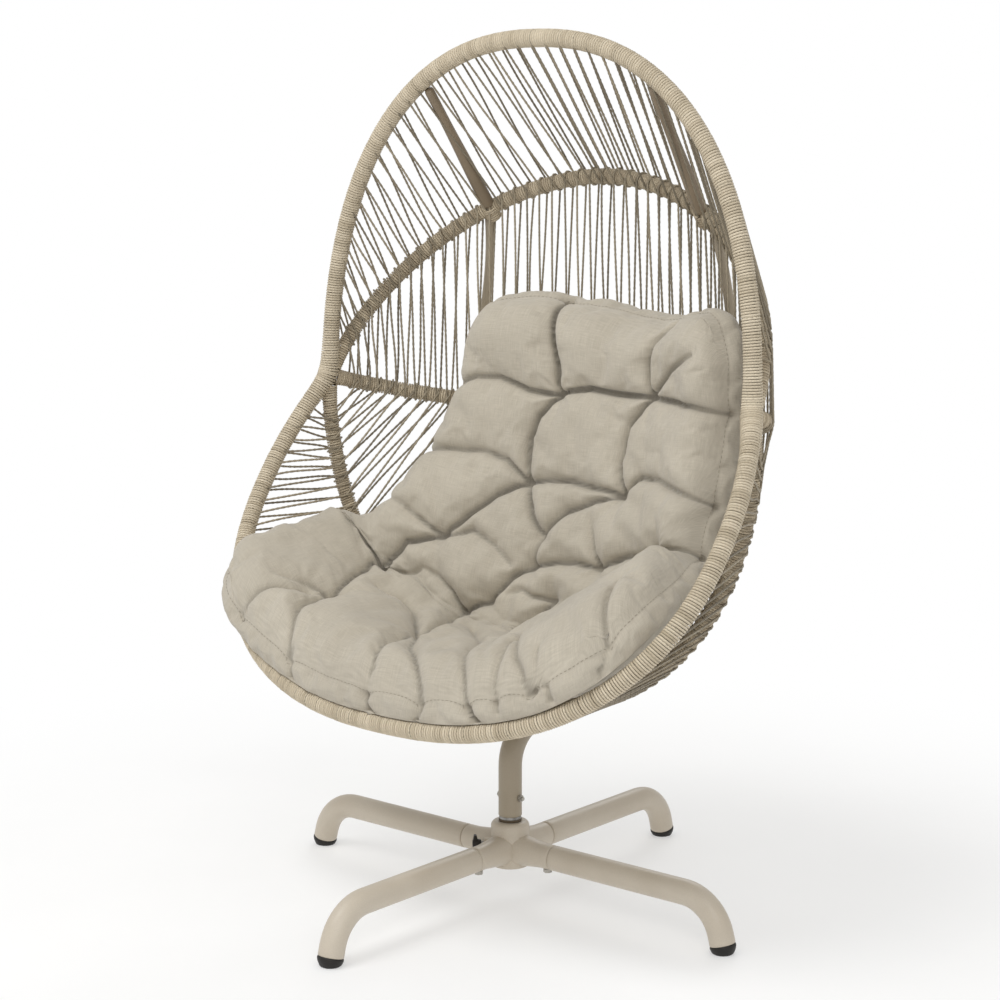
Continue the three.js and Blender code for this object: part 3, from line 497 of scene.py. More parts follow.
def woven_cloth(name, slot, dark, light):
    """Plain weave with slubs, with painted shade in the weave's gaps and in the creases: UV is in
    millimetres, along and across the threads.
    """
    finish, tree, where = new_finish(name, slot, specular=0.18)
    uv = add_node(tree, "UVMap")
    across, down = separate(tree, uv)
    wobble = times(tree, noise(tree, where, 60.0, 1.0), 4.0)
    a, b = (math_node(tree, "SINE", plus(tree, times(tree, value, TAU / 2 / THREAD_PITCH), wobble))
            for value in (across, down))
    weave = times(tree, a, b)
    weft = add_node(tree, "Mapping", {"Vector": uv, "Scale": (0.035, 0.9, 1.0)})
    warp = add_node(tree, "Mapping", {"Vector": uv, "Scale": (0.9, 0.035, 1.0)})
    slub = mixed(tree, noise(tree, weft, 1.0, 3.0, 0.6), noise(tree, warp, 1.0, 3.0, 0.6), 0.5)
    patch = noise(tree, where, 7.0, 2.0)
    base = ramp(tree, mixed(tree, slub, patch, 0.25), (0.36, dark), (0.64, light))
    # painted shade and highlight: the weave is darker in the gaps between threads and lighter on
    # their crowns
    gap = add_node(tree, "MapRange", {0: weave, 1: -1.0, 2: 1.0, 3: 0.93, 4: 1.04})
    # painted shade: the cloth's colour goes down to half along the bottoms of the creases
    fold = add_node(tree, "Attribute", output="Fac", attribute_name="fold")
    shade = add_node(tree, "MapRange", {0: fold, 1: 0.25, 2: 0.95, 3: 1.0, 4: 0.5})
    creased = bump(tree, noise(tree, where, 34.0, 3.0), 0.4, 0.005)
    thread = bump(tree, slub, 0.35, 0.0006, creased)
    return dressed(finish, Base_Color=scaled(tree, base, times(tree, gap, shade)),
                   Roughness=spread(tree, slub, 0.82, 0.95), Sheen_Weight=0.25,
                   Sheen_Roughness=0.5, Normal=bump(tree, weave, 0.45, 0.0004, thread))


LEG_COAT = powder_coat("leg_coat", (190, 179, 162), (197, 187, 171))
COLUMN_COAT = powder_coat("column_coat", (158, 146, 126), (166, 154, 135))
STRUT_COAT = powder_coat("strut_coat", (122, 108, 89), (136, 121, 101))
ZINC = plain_metal("zinc", "zinc_plate", (160, 156, 148), (186, 182, 174), 0.38)
STEEL = plain_metal("steel", "bare_steel", (128, 126, 122), (158, 156, 152), 0.32)
NYLON = moulded("nylon", "nylon", (84, 72, 56), (98, 85, 67), 0.5)
BLACK = moulded("black", "black_plastic", (26, 24, 22), (38, 35, 31), 0.5)
COIL_CORD = cord("coil_cord", "wound_cord", (188, 174, 149), (226, 213, 189))
HOOP_CORD = cord("hoop_cord", "wound_cord", (160, 144, 120), (210, 196, 170))
LACE_CORD = cord("lace_cord", "laced_cord", (120, 111, 95), (168, 156, 134), 2.0)
CLOTH = woven_cloth("cloth", "cushion_cloth", (170, 162, 147), (197, 189, 173))
THREAD = cord("thread", "cushion_cloth", (150, 141, 126), (166, 157, 141))


# ---------------------------------------------------------------- wound cord
COIL_PITCH = 4.3                    # one turn of wound cord along a tube
COIL_HALF = (1.65, 2.02)            # half its section, out from the tube and along it
COIL_STEPS, COIL_SIDES = 14, 6
TWIST_LENGTH = 6.0                  # one twist of the cord itself
KINK_ROUNDING = 26                  # how far the rim is rounded on each side of a kink
RIM_STEP = 2.0
FINE = 721                          # angles along a hoop
RIM_SMOOTHING = 160                 # rounds of smoothing at the kinks
COIL_GAP = 0.2                      # between a tube and the cord wound on it


def coil(path, tube_radius, rng, swell=(0, 0)):
    """One cord wound round a path, turn beside turn. Gives points, faces, UV and tint.

    swell is how much wider the winding gets at the path's ends, and over what length.
    """
    length = lengths_along(path)[-1]
    turns = int(length / COIL_PITCH)
    fine = spaced(path, RIM_STEP)
    t, n, b = frames(fine)
    at = lengths_along(fine)
    count = turns * COIL_STEPS + 1
    s = np.linspace(COIL_HALF[1], length - COIL_HALF[1], count)
    centre = interpolated(s, at, fine)
    along, side, other = (unit(interpolated(s, at, rows)) for rows in (t, n, b))
    turn_number = np.arange(count) / COIL_STEPS
    knots = np.arange(turns + 2)
    tint = np.interp(turn_number, knots, np.clip(rng.normal(0.55, 0.2, turns + 2), 0, 1))
    lift = np.interp(turn_number, knots, rng.normal(0, 0.13, turns + 2))
    shift = np.interp(turn_number, knots, rng.normal(0, 0.16, turns + 2))
    angle = turn_number * TAU
    if swell[0]:
        lift = lift + swell[0] * np.exp(-(np.minimum(s, length - s) / swell[1]) ** 2)
    out = np.cos(angle)[:, None] * side + np.sin(angle)[:, None] * other
    radius = tube_radius + COIL_GAP + COIL_HALF[0] + lift
    middle = centre + out * radius[:, None] + along * shift[:, None]
    around = np.arange(COIL_SIDES) / COIL_SIDES * TAU
    section = (np.cos(around)[None, :, None] * COIL_HALF[0] * out[:, None]
               - np.sin(around)[None, :, None] * COIL_HALF[1] * along[:, None])
    points = (middle[:, None] + section).reshape(-1, 3)
    wound = turn_number * TAU * (tube_radius + COIL_HALF[0]) / TWIST_LENGTH
    uv = np.stack([np.repeat(wound, COIL_SIDES), np.tile(around / TAU, count)], -1)
    return points, ring_faces(count, COIL_SIDES), uv, np.repeat(tint, COIL_SIDES)


def rim_loop():
    """The whole rim from the left kink over the top and back round the front, kinks rounded."""
    upper = upper_rim(np.linspace(0, 180, FINE))
    lower = lower_rim(np.linspace(180 - RIM_KINK_ANGLE, RIM_KINK_ANGLE, FINE))
    split = lengths_along(upper)[-1]
    loop = spaced(np.concatenate([upper, lower[1:]]), RIM_STEP)
    at = lengths_along(loop)
    near = np.minimum.reduce([at, np.abs(at - split), at[-1] - at])
    weight = np.clip(1 - near / (2 * KINK_ROUNDING), 0, 1)[:-1, None]
    ring = loop[:-1]
    for _ in range(RIM_SMOOTHING):
        ring = ring + 0.5 * weight * ((np.roll(ring, 1, 0) + np.roll(ring, -1, 0)) / 2 - ring)
    return np.concatenate([ring, ring[:1]]), int(np.searchsorted(at, split))


def trimmed(points, start, end):
    """A path without its first and last lengths."""
    length = lengths_along(points)[-1]
    return resampled(points, np.linspace(start, length - end, max(8, int(length / RIM_STEP))))


RIM_LOOP, RIM_SPLIT = rim_loop()
FULL = np.linspace(0, 180, FINE)
KINK_OVERLAP = 6                    # points by which the two halves of the rim's cord overlap
RIM_SWELL = (3.0, 42)
HOOP_SWELL = (1.2, 30)
COILS = [                           # name, CAD node, path, tube radius, finish
    ("rim_upper_cord", "rim_upper_wrap", RIM_LOOP[:RIM_SPLIT + KINK_OVERLAP], RIM_TUBE_R,
     COIL_CORD),
    ("rim_lower_cord", "rim_lower_wrap", np.concatenate([RIM_LOOP[RIM_SPLIT:], RIM_LOOP[1:5]]),
     RIM_TUBE_R, COIL_CORD),
    ("top_arch_cord", "top_arch_wrap", trimmed(top_arch(FULL), 12, 12), HOOP_TUBE_R, HOOP_CORD),
    ("mid_hoop_cord", "mid_hoop_wrap", trimmed(mid_hoop(FULL), 6, 6), HOOP_TUBE_R, HOOP_CORD),
    ("bottom_hoop_cord", "bottom_hoop_wrap", bottom_hoop(np.linspace(-3, 183, FINE)), HOOP_TUBE_R,
     HOOP_CORD),
]
for number, (name, node, path, radius, finish) in enumerate(COILS):
    points, faces, uv, tint = coil(path, radius, np.random.default_rng(100 + number),
                                   RIM_SWELL if radius == RIM_TUBE_R else HOOP_SWELL)
    make_piece(name, points, faces, finish, [node], uv=uv, tint=tint)


# ---------------------------------------------------------------- laced cord
LACE_R, LACE_LOBE = 1.75, 0.35      # section of the two-ply cord
LACE_TWIST = 20.0                   # one twist of its two plies
LACE_STEP = 4.0
LACE_SIDES = 6
LOOP_STEPS = 9                      # half round a hoop
LACE_SLACK = 0.9                    # how far a strand sags or bows, as a standard deviation
RIM_LOOP_R = RIM_R - 2.2            # the loops lie between turns of the rim's wound cord
HOOP_LOOP_R = HOOP_R + LACE_R


def even_angles(hoop, start, end, count):
    """Angles between two limits that are evenly spaced along the hoop."""
    angles = np.linspace(start, end, FINE)
    at = lengths_along(hoop(angles))
    return np.interp(np.linspace(0, at[-1], count), at, angles)


def hoop_directions(hoop, degrees, towards):
    """At points of a hoop: its own direction, away from the other hoop, and the shell's normal."""
    along = unit(hoop(degrees + 0.3) - hoop(degrees - 0.3))
    away = hoop(degrees) - towards
    away = unit(away - along * np.sum(away * along, -1, keepdims=True))
    return along, away, np.cross(along, away)


def lacing(hoop_a, hoop_b, radius_a, radius_b, angles_a, angles_b, rng):
    """A cord that goes to and fro between two hoops, on the front and then on the rear side.

    angles_a and angles_b hold two values for each turn, for the front and the rear strand.
    """
    point_a, point_b = hoop_a(angles_a), hoop_b(angles_b)
    along_a, away_a, normal_a = hoop_directions(hoop_a, angles_a, point_b)
    along_b, away_b, normal_b = hoop_directions(hoop_b, angles_b, point_a)
    if np.mean(np.sum(normal_a * normal_b, -1)) < 0:
        normal_b = -normal_b
    path, guide, tint = [], [], []
    for k in range(len(angles_a) - 1):
        front = k % 2 == 0
        side = 1.0 if front else -1.0
        ends = [point_a[k] + side * radius_a * normal_a[k],
                point_b[k] + side * radius_b * normal_b[k]]
        strand = ends if front else ends[::-1]
        steps = max(4, round(np.linalg.norm(strand[1] - strand[0]) / LACE_STEP))
        share = np.linspace(0, 1, steps + 1)[:-1, None]
        line = strand[0] * (1 - share) + strand[1] * share
        slack = rng.normal(0, LACE_SLACK, 2)
        bow = slack[0] * np.sin(share * TAU / 2) + slack[1] * np.sin(share * TAU)
        line = line + along_b[k] * bow
        path.append(line)
        guide.append(np.broadcast_to(along_b[k], line.shape))
        tint.append(np.full(len(line), rng.uniform(0.15, 0.85)))
        point, away, normal, radius, along = (
            (point_b, away_b, normal_b, radius_b, along_b) if front
            else (point_a, away_a, normal_a, radius_a, along_a))
        turn = np.linspace(TAU / 4, -TAU / 4, LOOP_STEPS + 1)[:-1, None] * side
        share = np.linspace(0, 1, LOOP_STEPS + 1)[:-1, None]
        centre = point[k] * (1 - share) + point[k + 1] * share
        path.append(centre + radius * (np.cos(turn) * away[k] + np.sin(turn) * normal[k]))
        guide.append(np.broadcast_to(along[k], path[-1].shape))
        # painted light: loops round the hoops are tinted lighter than the strands, which lifts the
        # shade they lie in
        tint.append(np.full(LOOP_STEPS, rng.uniform(0.5, 1.0)))
    path, guide, tint = np.concatenate(path), np.concatenate(guide), np.concatenate(tint)
    t = unit(np.gradient(path, axis=0))
    n = unit(guide - t * np.sum(guide * t, -1, keepdims=True))
    b = np.cross(t, n)
    at = lengths_along(path)
    around = np.arange(LACE_SIDES) / LACE_SIDES * TAU
    radius = LACE_R + LACE_LOBE * np.cos(2 * (around[None] + at[:, None] / LACE_TWIST * TAU))
    points = (path[:, None] + radius[..., None] * spokes(n, b, around)).reshape(-1, 3)
    uv = np.stack([np.repeat(at / LACE_TWIST, LACE_SIDES), np.tile(around / TAU, len(at))], -1)
    return points, ring_faces(len(path), LACE_SIDES), uv, np.repeat(tint, LACE_SIDES)


def matched(degrees, start, power):
    """Angles on the second hoop. start is the angle near a kink where the cords begin, and a
    power over 1 makes them fan out, so that they meet the second hoop nearer to the kinks.
    """
    from_kink = (np.minimum(degrees, 180 - degrees) - start) / (90 - start)
    angles = 90 * from_kink ** power
    return np.where(degrees < 90, angles, 180 - angles)


STRAIGHT, SIDE_FAN, SEAT_FAN = (0, 1), (0, 1.9), (RIM_KINK_ANGLE, 1.12)
PANELS = [                          # name, hoops, loop radius, angle limits, turns, matching
    ("hood", upper_rim, top_arch, RIM_LOOP_R, 9.5, 170.5, 48, STRAIGHT),
    ("back", top_arch, mid_hoop, HOOP_LOOP_R, 10, 170, 46, STRAIGHT),
    ("side_left", mid_hoop, bottom_hoop, HOOP_LOOP_R, 14, 84, 20, SIDE_FAN),
    ("side_right", mid_hoop, bottom_hoop, HOOP_LOOP_R, 166, 96, 20, SIDE_FAN),
    ("seat_left", lower_rim, bottom_hoop, RIM_LOOP_R, -16, 87, 32, SEAT_FAN),
    ("seat_right", lower_rim, bottom_hoop, RIM_LOOP_R, 196, 93, 32, SEAT_FAN),
]
for number, (name, hoop_a, hoop_b, radius_a, low, high, turns, matching) in enumerate(PANELS):
    kind, _, side = name.partition("_")
    node = f"{kind}_lacing_{side}".rstrip("_")
    angles = even_angles(hoop_a, low, high, turns + 1)
    middles = matched((angles[1:] + angles[:-1]) / 2, *matching)
    strand = np.arange(2 * turns)
    lace = lacing(hoop_a, hoop_b, radius_a, HOOP_LOOP_R, angles[(strand + 1) // 2],
                  middles[strand // 2], np.random.default_rng(200 + number))
    make_piece(f"{name}_cords", lace[0], lace[1], LACE_CORD, [node], uv=lace[2], tint=lace[3])


# ---------------------------------------------------------------- column
COLUMN_R = 19
COLUMN_FOOT = 133.6
COLUMN_LEVEL = 279                  # height of the level run under the shell
COLUMN_BEND_R, MAST_BEND_R = 63, 90
MAST_CORNER = np.array([0, 170, COLUMN_LEVEL])
MAST_TOP = np.array([0, 291, 790])
MAST = unit(MAST_TOP - MAST_CORNER)


def column_path():
    rise = math.atan2(MAST[2], MAST[1])
    start = MAST_CORNER[1] - MAST_BEND_R * math.tan(rise / 2)
    low_centre = (0, COLUMN_BEND_R, COLUMN_LEVEL - COLUMN_BEND_R)
    low = arc(low_centre, (0, -1, 0), (0, 0, 1), COLUMN_BEND_R, 90)
    high = arc((0, start, COLUMN_LEVEL + MAST_BEND_R), (0, 0, -1), (0, 1, 0), MAST_BEND_R,
               math.degrees(rise))
    return np.concatenate([[[0, 0, COLUMN_FOOT]], low, high, [MAST_TOP]])


def with_rounded_ends(path, radius, edge=1.2):
    """A tube whose two end edges are slightly rounded."""
    path = spaced(path, 8.0)
    start, end = unit(path[1] - path[0]), unit(path[-1] - path[-2])
    path = np.concatenate([[path[0], path[0] + start * edge / 2, path[0] + start * edge], path[1:-1],
                           [path[-1] - end * edge, path[-1] - end * edge / 2, path[-1]]])
    radii = np.full(len(path), float(radius))
    radii[[0, -1]] -= edge
    radii[[1, -2]] -= edge * 0.3
    return tube(path, radii)


make_piece("column", *with_rounded_ends(column_path(), COLUMN_R), COLUMN_COAT, ["swivel_column"])
CAP_PROFILE = rounded([[0.5, 0.3], [COLUMN_R, 0.3], [COLUMN_R, 3], [COLUMN_R - 4, 5.2], [0.5, 5.5]])
make_piece("mast_cap", *revolved(CAP_PROFILE, MAST_TOP, MAST), BLACK, ["column_cap"])

# ---------------------------------------------------------------- base
LEG_Z, LEG_R = 80, 20
LEG_BEND_AT, LEG_BEND_R, LEG_BEND = 345, 70, 75
LEG_TAIL = 16
LEG_START = 90.6
LEG_DOWN = np.array([cos_sin(LEG_BEND)[0], 0, -cos_sin(LEG_BEND)[1]])
HUB_R, HUB_BOTTOM, HUB_TOP, BORE_R = 31, 51, 125, 17
LEG_ANGLES = {"right": 0, "rear": 90, "left": 180, "front": 270}
LOCK_Z, LOCK_ANGLE = 87, 225


def turned_about_z(points, degrees):
    c, s = cos_sin(degrees)
    return np.asarray(points) @ np.array([[c, s, 0], [-s, c, 0], [0, 0, 1]])


def leg_path():
    bend = arc((LEG_BEND_AT, 0, LEG_Z - LEG_BEND_R), (0, 0, 1), (1, 0, 0), LEG_BEND_R, LEG_BEND)
    return np.concatenate([[[LEG_START, 0, LEG_Z]], bend, [bend[-1] + LEG_DOWN * LEG_TAIL]])


def foot_cap():
    """The dome under a tube's mouth, flattened level with the floor where it stands."""
    mouth = leg_path()[-1]
    profile = rounded([[16.6, 2], [19.6, 0.2], [20.4, -1.5], [20.2, -4], [18.6, -8.5], [14.8, -14.5],
                       [9, -18.6], [0.5, -20]], 2.5)
    points, faces = revolved(profile, mouth, -LEG_DOWN)
    sole = np.maximum(points[:, 2], 0)
    spread_out = (sole - points[:, 2])[:, None] * 0.12 * unit(points[:, :2] - mouth[:2] - 6)
    points[:, 2] = sole
    points[:, :2] += spread_out
    return points, faces


def hub():
    """Barrel, four flared sockets with welds and a lock boss, as one casting-like piece."""
    barrel = revolved(rounded([
        [24, 66], [24, HUB_BOTTOM + 0.5], [HUB_R - 1, HUB_BOTTOM], [HUB_R, HUB_BOTTOM + 3],
        [HUB_R, HUB_TOP - 5], [HUB_R - 4.5, HUB_TOP], [BORE_R + 1.5, HUB_TOP], [BORE_R, HUB_TOP - 2],
        [BORE_R, 66]], 3), sides=72)
    stub = rounded([[25.5, 20], [25.5, 25], [22.6, 46], [20.6, 64], [LEG_R, 70], [LEG_R, 87.8],
                    [LEG_R - 1.8, 90], [16.5, 90]], 6)
    parts = [barrel]
    for degrees in LEG_ANGLES.values():
        points, faces = revolved(stub, (0, 0, LEG_Z), (1, 0, 0), sides=48)
        parts.append((turned_about_z(points, degrees), faces))
    boss = rounded([[4.5, 26], [9, 26], [9, 42], [4.5, 43]], 1.2)
    parts.append(revolved(boss, (0, 0, LOCK_Z), (*cos_sin(LOCK_ANGLE), 0)))
    return merged(*parts)


make_piece("hub", *hub(), LEG_COAT, ["base_hub"], "base")
for side, degrees in LEG_ANGLES.items():
    points, faces = with_rounded_ends(leg_path(), LEG_R, 1.7)
    make_piece(f"leg_tube_{side}", turned_about_z(points, degrees), faces, LEG_COAT,
               [f"leg_{side}"], "base")
    points, faces = foot_cap()
    make_piece(f"foot_{side}", turned_about_z(points, degrees), faces, BLACK,
               [f"foot_cap_{side}"], "base")

# ---------------------------------------------------------------- struts
STRUT_R = 8
UPPER_STRUT_X = (225, 216)          # where the upper struts meet the rim and the arch
BACK_STRUT_X = (228, 274)           # where the back struts meet the arch and the mid hoop
BACK_STRUT_VIA = (250, 258, 950)    # the point towards which they bow
STRUT_BEHIND = 5                    # how far the upper struts lie behind the hoops' middles
BINDING_R, BINDING_HALF = 10.2, 14


def hoop_point(hoop, x):
    """The point of a hoop with this x, on its left or right half."""
    angles = np.linspace(0, 90, 2001)
    points = hoop(angles)
    k = int(np.argmin(np.abs(points[:, 0] + abs(x))))
    return points[k] * [-math.copysign(1, x), 1, 1]


def binding(centre, axis, radius, half_length, rng):
    """Turns of cord that bind a strut to a hoop."""
    path = np.array([centre - axis * half_length, centre, centre + axis * half_length])
    return coil(spaced(path, RIM_STEP), radius, rng)


def struts(side, sign):
    rim_end = hoop_point(upper_rim, sign * UPPER_STRUT_X[0])
    arch_top = hoop_point(top_arch, sign * UPPER_STRUT_X[1])
    along = unit(arch_top - rim_end)
    behind = unit(np.cross(along, [1, 0, 0])) * STRUT_BEHIND
    start = rim_end + behind + along * (RIM_R + 3)
    end = arch_top + behind - along * (HOOP_R - 6)
    share = np.linspace(0, 1, 60)[:, None]
    radii = 8.2 + 3.2 * smoothstep(share[:, 0], 0.2, 0.95)
    radii[:2] = [6.5, 7.9]
    radii[-3:] = [11.2, 10.4, 8.4]
    make_piece(f"upper_strut_tube_{side}", *tube(start * (1 - share) + end * share, radii),
               STRUT_COAT, [f"upper_strut_{side}"])
    low_end = hoop_point(top_arch, sign * BACK_STRUT_X[0]) + [0, 12, -12]
    mid_end = hoop_point(mid_hoop, sign * BACK_STRUT_X[1]) + [0, 14, 15.5]
    via = np.array(BACK_STRUT_VIA) * [sign, 1, 1]
    bow = (1 - share) ** 2 * low_end + 2 * share * (1 - share) * via + share ** 2 * mid_end
    make_piece(f"back_strut_tube_{side}", *with_rounded_ends(bow, STRUT_R), COLUMN_COAT,
               [f"back_strut_{side}"])
    knot = arch_top + behind * 0.55 + [0, 0, -7]
    rng = np.random.default_rng(300 + sign)
    points, faces, uv, tint = binding(knot + [0, 2, 1], unit(low_end - start), BINDING_R,
                                      BINDING_HALF, rng)
    make_piece(f"strut_binding_{side}", points, faces, HOOP_CORD, uv=uv, tint=tint)


for side, sign in (("left", -1), ("right", 1)):
    struts(side, sign)

# ---------------------------------------------------------------- U-bolts
U_BOLT_R, U_BOLT_BEND, U_BOLT_LEG, U_BOLT_X = 3, HOOP_R + 2.2 + 3, 27, 30


def u_bolts(name, centre, tilt):
    """Two U-bolts round a hoop, threaded at their ends."""
    over = arc((0, 0, 0), (0, -1, 0), (0, 0, 1), U_BOLT_BEND, 180, 24)
    path = spaced(np.concatenate([[[0, -U_BOLT_BEND, -U_BOLT_LEG]], over,
                                  [[0, U_BOLT_BEND, -U_BOLT_LEG]]]), 0.5)
    at = lengths_along(path)
    from_end = np.minimum(at, at[-1] - at)
    thread = 0.22 * np.cos(at * TAU) * (from_end < 20)
    chamfer = np.clip(1 - from_end, 0, 1) * 0.8
    points, faces = tube(path, U_BOLT_R - 0.15 + thread - chamfer, 16)
    c, s = cos_sin(tilt)
    turn = np.array([[1, 0, 0], [0, c, s], [0, -s, c]])
    for number, x in enumerate((-U_BOLT_X, U_BOLT_X), 1):
        make_piece(f"{name}_clamp_{number}", (points + [x, 0, 0]) @ turn + centre, faces, ZINC,
                   [f"{name}_u_bolt_{number}"])


u_bolts("lower", bottom_hoop(90.0), 0)
u_bolts("upper", mid_hoop(90.0), 90)

# ---------------------------------------------------------------- other CAD nodes keep their mesh
BEVEL_ANGLE = 28                    # edges sharper than this are bevelled
KEPT = [                            # finish, bevel in mm, node names by their starts
    (ZINC, 0.5, ("leg_bolt_", "retaining_", "column_bolt", "column_nut", "lower_nut_",
                 "upper_nut_")),
    (STEEL, 0.4, ("pivot_shaft", "lock_screw")),
    (NYLON, 0.4, ("upper_bush", "lower_bush", "lock_pad")),
    (BLACK, 0.8, ("lock_knob",)),
    (COLUMN_COAT, 0.7, ("lower_bracket", "upper_bracket")),
    (STRUT_COAT, 0.0, ("rim_upper_tube", "rim_lower_tube", "top_arch_tube", "mid_hoop_tube",
                       "bottom_hoop_tube")),
]
for finish, bevel, starts in KEPT:
    for name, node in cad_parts.items():
        if not name.startswith(starts):
            continue
        node.data.materials.clear()
        node.data.materials.append(finish)
        if bevel:
            rounding = node.modifiers.new("edges", "BEVEL")
            rounding.width = bevel * MM
            rounding.segments = 3
            rounding.limit_method = "ANGLE"
            rounding.angle_limit = math.radians(BEVEL_ANGLE)
            rounding.harden_normals = False


# ---------------------------------------------------------------- cushion
ACROSS, ALONG, BAND = 128, 184, 10  # cells of the cushion's mesh
FINER_U, FINER_V = 1.2, 1.25        # how much finer they get towards its edges
SHELL_MIDDLE = np.array([0, -60, 760.0])
V_LENGTH = 1.6                      # length of the cushion over half its width
HOLD_REACH = 14                     # how far a crease holds the cloth in the simulation
SEAM_H, UNDER_H = 46, 6             # heights of the seam and the underside over the outline
CROWN, EDGE_RUN = 67, 58            # the top rises this much over the seam, within this distance
BULGE = 8                           # how far the band bulges out
ROLL_RISE, CORNER_SINK = 22, 12     # heights of the right side's roll, and of the low left corner
UNDER_UV, BAND_UV, BAND_ROW = [900, 0], [0, 1400], 7.0      # where the UVs of these parts lie
CORNER_V, CORNER_U = 0.07, 0.2      # rounding of the cushion's corners in plan
TUFT_DEPTH, TUFT_REACH = 44, 50
CREASE_DEPTH, CREASE_REACH = 24, 31
SAMPLES = 60                        # points for each stop of a crease
GROOVE_DEPTH, GROOVE_WIDTH = 7, 3.8  # the narrow fold at the bottom of a crease
PUCKER, PUCKER_RUN = 2.2, 42        # small folds that run out from a tuft
RIM_KEEP_OFF = RIM_R + 2.0          # from the rim's centre line to the cloth
TUFTS = {                           # (u, v) of the tufts
    "A": (-0.07, 0.84), "B": (0.49, 0.86), "C": (-0.16, 0.66), "D": (0.41, 0.65), "E": (0.03, 0.58),
    "F": (-0.53, 0.54), "G": (0.02, 0.53), "H": (0.37, 0.53), "I": (-0.63, 0.31), "J": (-0.52, 0.12),
    "K": (-0.24, 0.41), "L": (-0.13, 0.14), "M": (-0.15, 0.46), "N": (0.17, 0.48), "O": (0.12, 0.39),
    "P": (-0.57, 0.09), "Q": (0.77, 0.52),
}
TUCK, TUCK_RUN = 16, 22             # how the tufts draw in the underside
MOUND_RUN = 48
MOUNDS = [                          # (u, v, height) of pillows that stand up higher
    (-0.3, 0.475, 16), (-0.44, 0.32, 12), (0.1, 0.47, 8), (-0.92, 0.39, 9), (-0.96, 0.32, -5),
]
# Creases: share of the full depth at both ends, and points as tufts, (u, v) or (u, v, height).
CREASES = [
    (1, 1.3, "A", (-.1, .9), (-.17, .96), (-.24, 1), (-.26, 1, 40)),
    (1, .5, "A", (-.33, .84), (-.57, .86), (-.78, .86), (-1, .84), (-1, .84, 40)),
    (1, 1, "A", (.12, .86), "B"),
    (1, 1, "A", (-.2, .79), (-.22, .74), "C"),
    (1, .5, "B", (.48, .93), (.51, .97), (.61, 1), (.61, 1, 40)),
    (1, .5, "B", (.78, .83), (1, .83), (1, .83, 40)),
    (1, .4, "B", (.67, .91), (.85, .94)),
    (1, 1, "B", (.38, .79), (.36, .71), "D"),
    (1, .6, "C", (-.33, .69), (-.52, .7), (-1, .68), (-1, .68, 40)),
    (1, 1, "C", (.1, .67), "D"),
    (1, 1, "C", (-.32, .63), (-.42, .59), "F"),
    (1, 1, "C", (-.06, .61), "E"),
    (1, 1, "D", (.27, .64), (.13, .62), "E"),
    (1, .6, "D", (.51, .68), (.65, .67), (1, .61), (1, .61, 40)),
    (1, 1, "E", "G"),
    (1, .3, "H", (.31, .58), (.27, .61)),
    (.8, .6, "Q", (.95, .46), (1, .45), (1, .45, 40)),
    (1, .3, "F", (-.67, .55), (-.81, .56), (-1, .56)),
    (1, 1, "F", (-.68, .5), (-.68, .46), (-.64, .37), "I"),
    (.9, .05, "I", (-.76, .35), (-.84, .38), (-1, .37)),
    (.9, .5, "F", (-.36, .565), (-.2, .55), (-.08, .525)),
    (.4, .9, (-.51, .47), (-.58, .4), "I"),
    (1, 1, "I", (-.65, .26), (-.61, .2), "J"),
    (.9, .3, "J", (-.6, .1), (-.66, .07)),
    (.9, .5, "J", (-.57, .08), (-.64, .04), (-.7, 0), (-.72, 0, 45)),
    (.9, .6, "J", (-.48, .05), (-.42, 0), (-.4, 0, 45), (-.39, 0, 12)),
    (1, .4, "K", (-.31, .45), (-.42, .47), (-.51, .47)),
    (1, .3, "L", (-.31, .21), (-.39, .22), (-.49, .2)),
    (1, 1, "L", (-.22, .27), "K"),
    (1, .7, "L", (-.08, .07), (-.04, .01), (-.05, 0, 41), (-.03, 0, 5)),
    (1, .6, "L", (.03, .05), (.11, 0), (.12, 0, 50), (.1, 0, 7)),
    (.6, .9, (-.08, .24), (.12, .13), (.22, .05), (.28, 0), (.28, 0, 47), (.32, 0, 12)),
    (1, 1, "K", (-.18, .45), "M"),
    (1, 1, "M", (-.11, .48), (-.06, .51), "G"),
    (1, 1, "G", (.15, .54), (.23, .54), "H"),
    (1, 1, "H", (.54, .54), "Q"),
    (.4, 1, (-.06, .48), (.02, .49), (.08, .48), "N"),
    (1, 1, "N", (.14, .44), "O"),
    (1, .1, "O", (.08, .28), (.22, .12), (.37, 0)),
    (.7, .5, (.43, .1), (.37, .08), (.4, .03), (.4, 0), (.41, 0, 26)),
    (.5, .25, (.57, .03), (.58, 0), (.6, 0, 30)),
    (.6, .8, (.34, .12), (.47, .03), (.53, 0), (.57, 0, 43)),
    (.4, .6, (.6, 0), (.62, 0, 41), (.63, 0, 17)),
    (.6, .9, (.85, .12), (.9, .02), (.9, 0), (.9, 0, 43), (.87, 0, 23), (.84, 0, 12)),
]


def rounded_plan(u, v):
    """Keeps u inside rounded corners."""
    near = np.clip(1 - np.minimum(v, 1 - v) / CORNER_V, 0, 1)
    return u * (1 - CORNER_U * (1 - np.sqrt(1 - near ** 2)))


def outline_grid():
    t = np.linspace(-1, 1, ACROSS + 1)
    u = np.sin(t * FINER_U) / math.sin(FINER_U)
    s = np.linspace(-1, 1, ALONG + 1)
    v = 0.5 + 0.5 * np.sin(s * FINER_V) / math.sin(FINER_V)
    u, v = np.meshgrid(u, v)
    u = rounded_plan(u, v)
    ground = cushion_outline(u, v)
    return u, v, ground, grid_normals(ground, SHELL_MIDDLE)


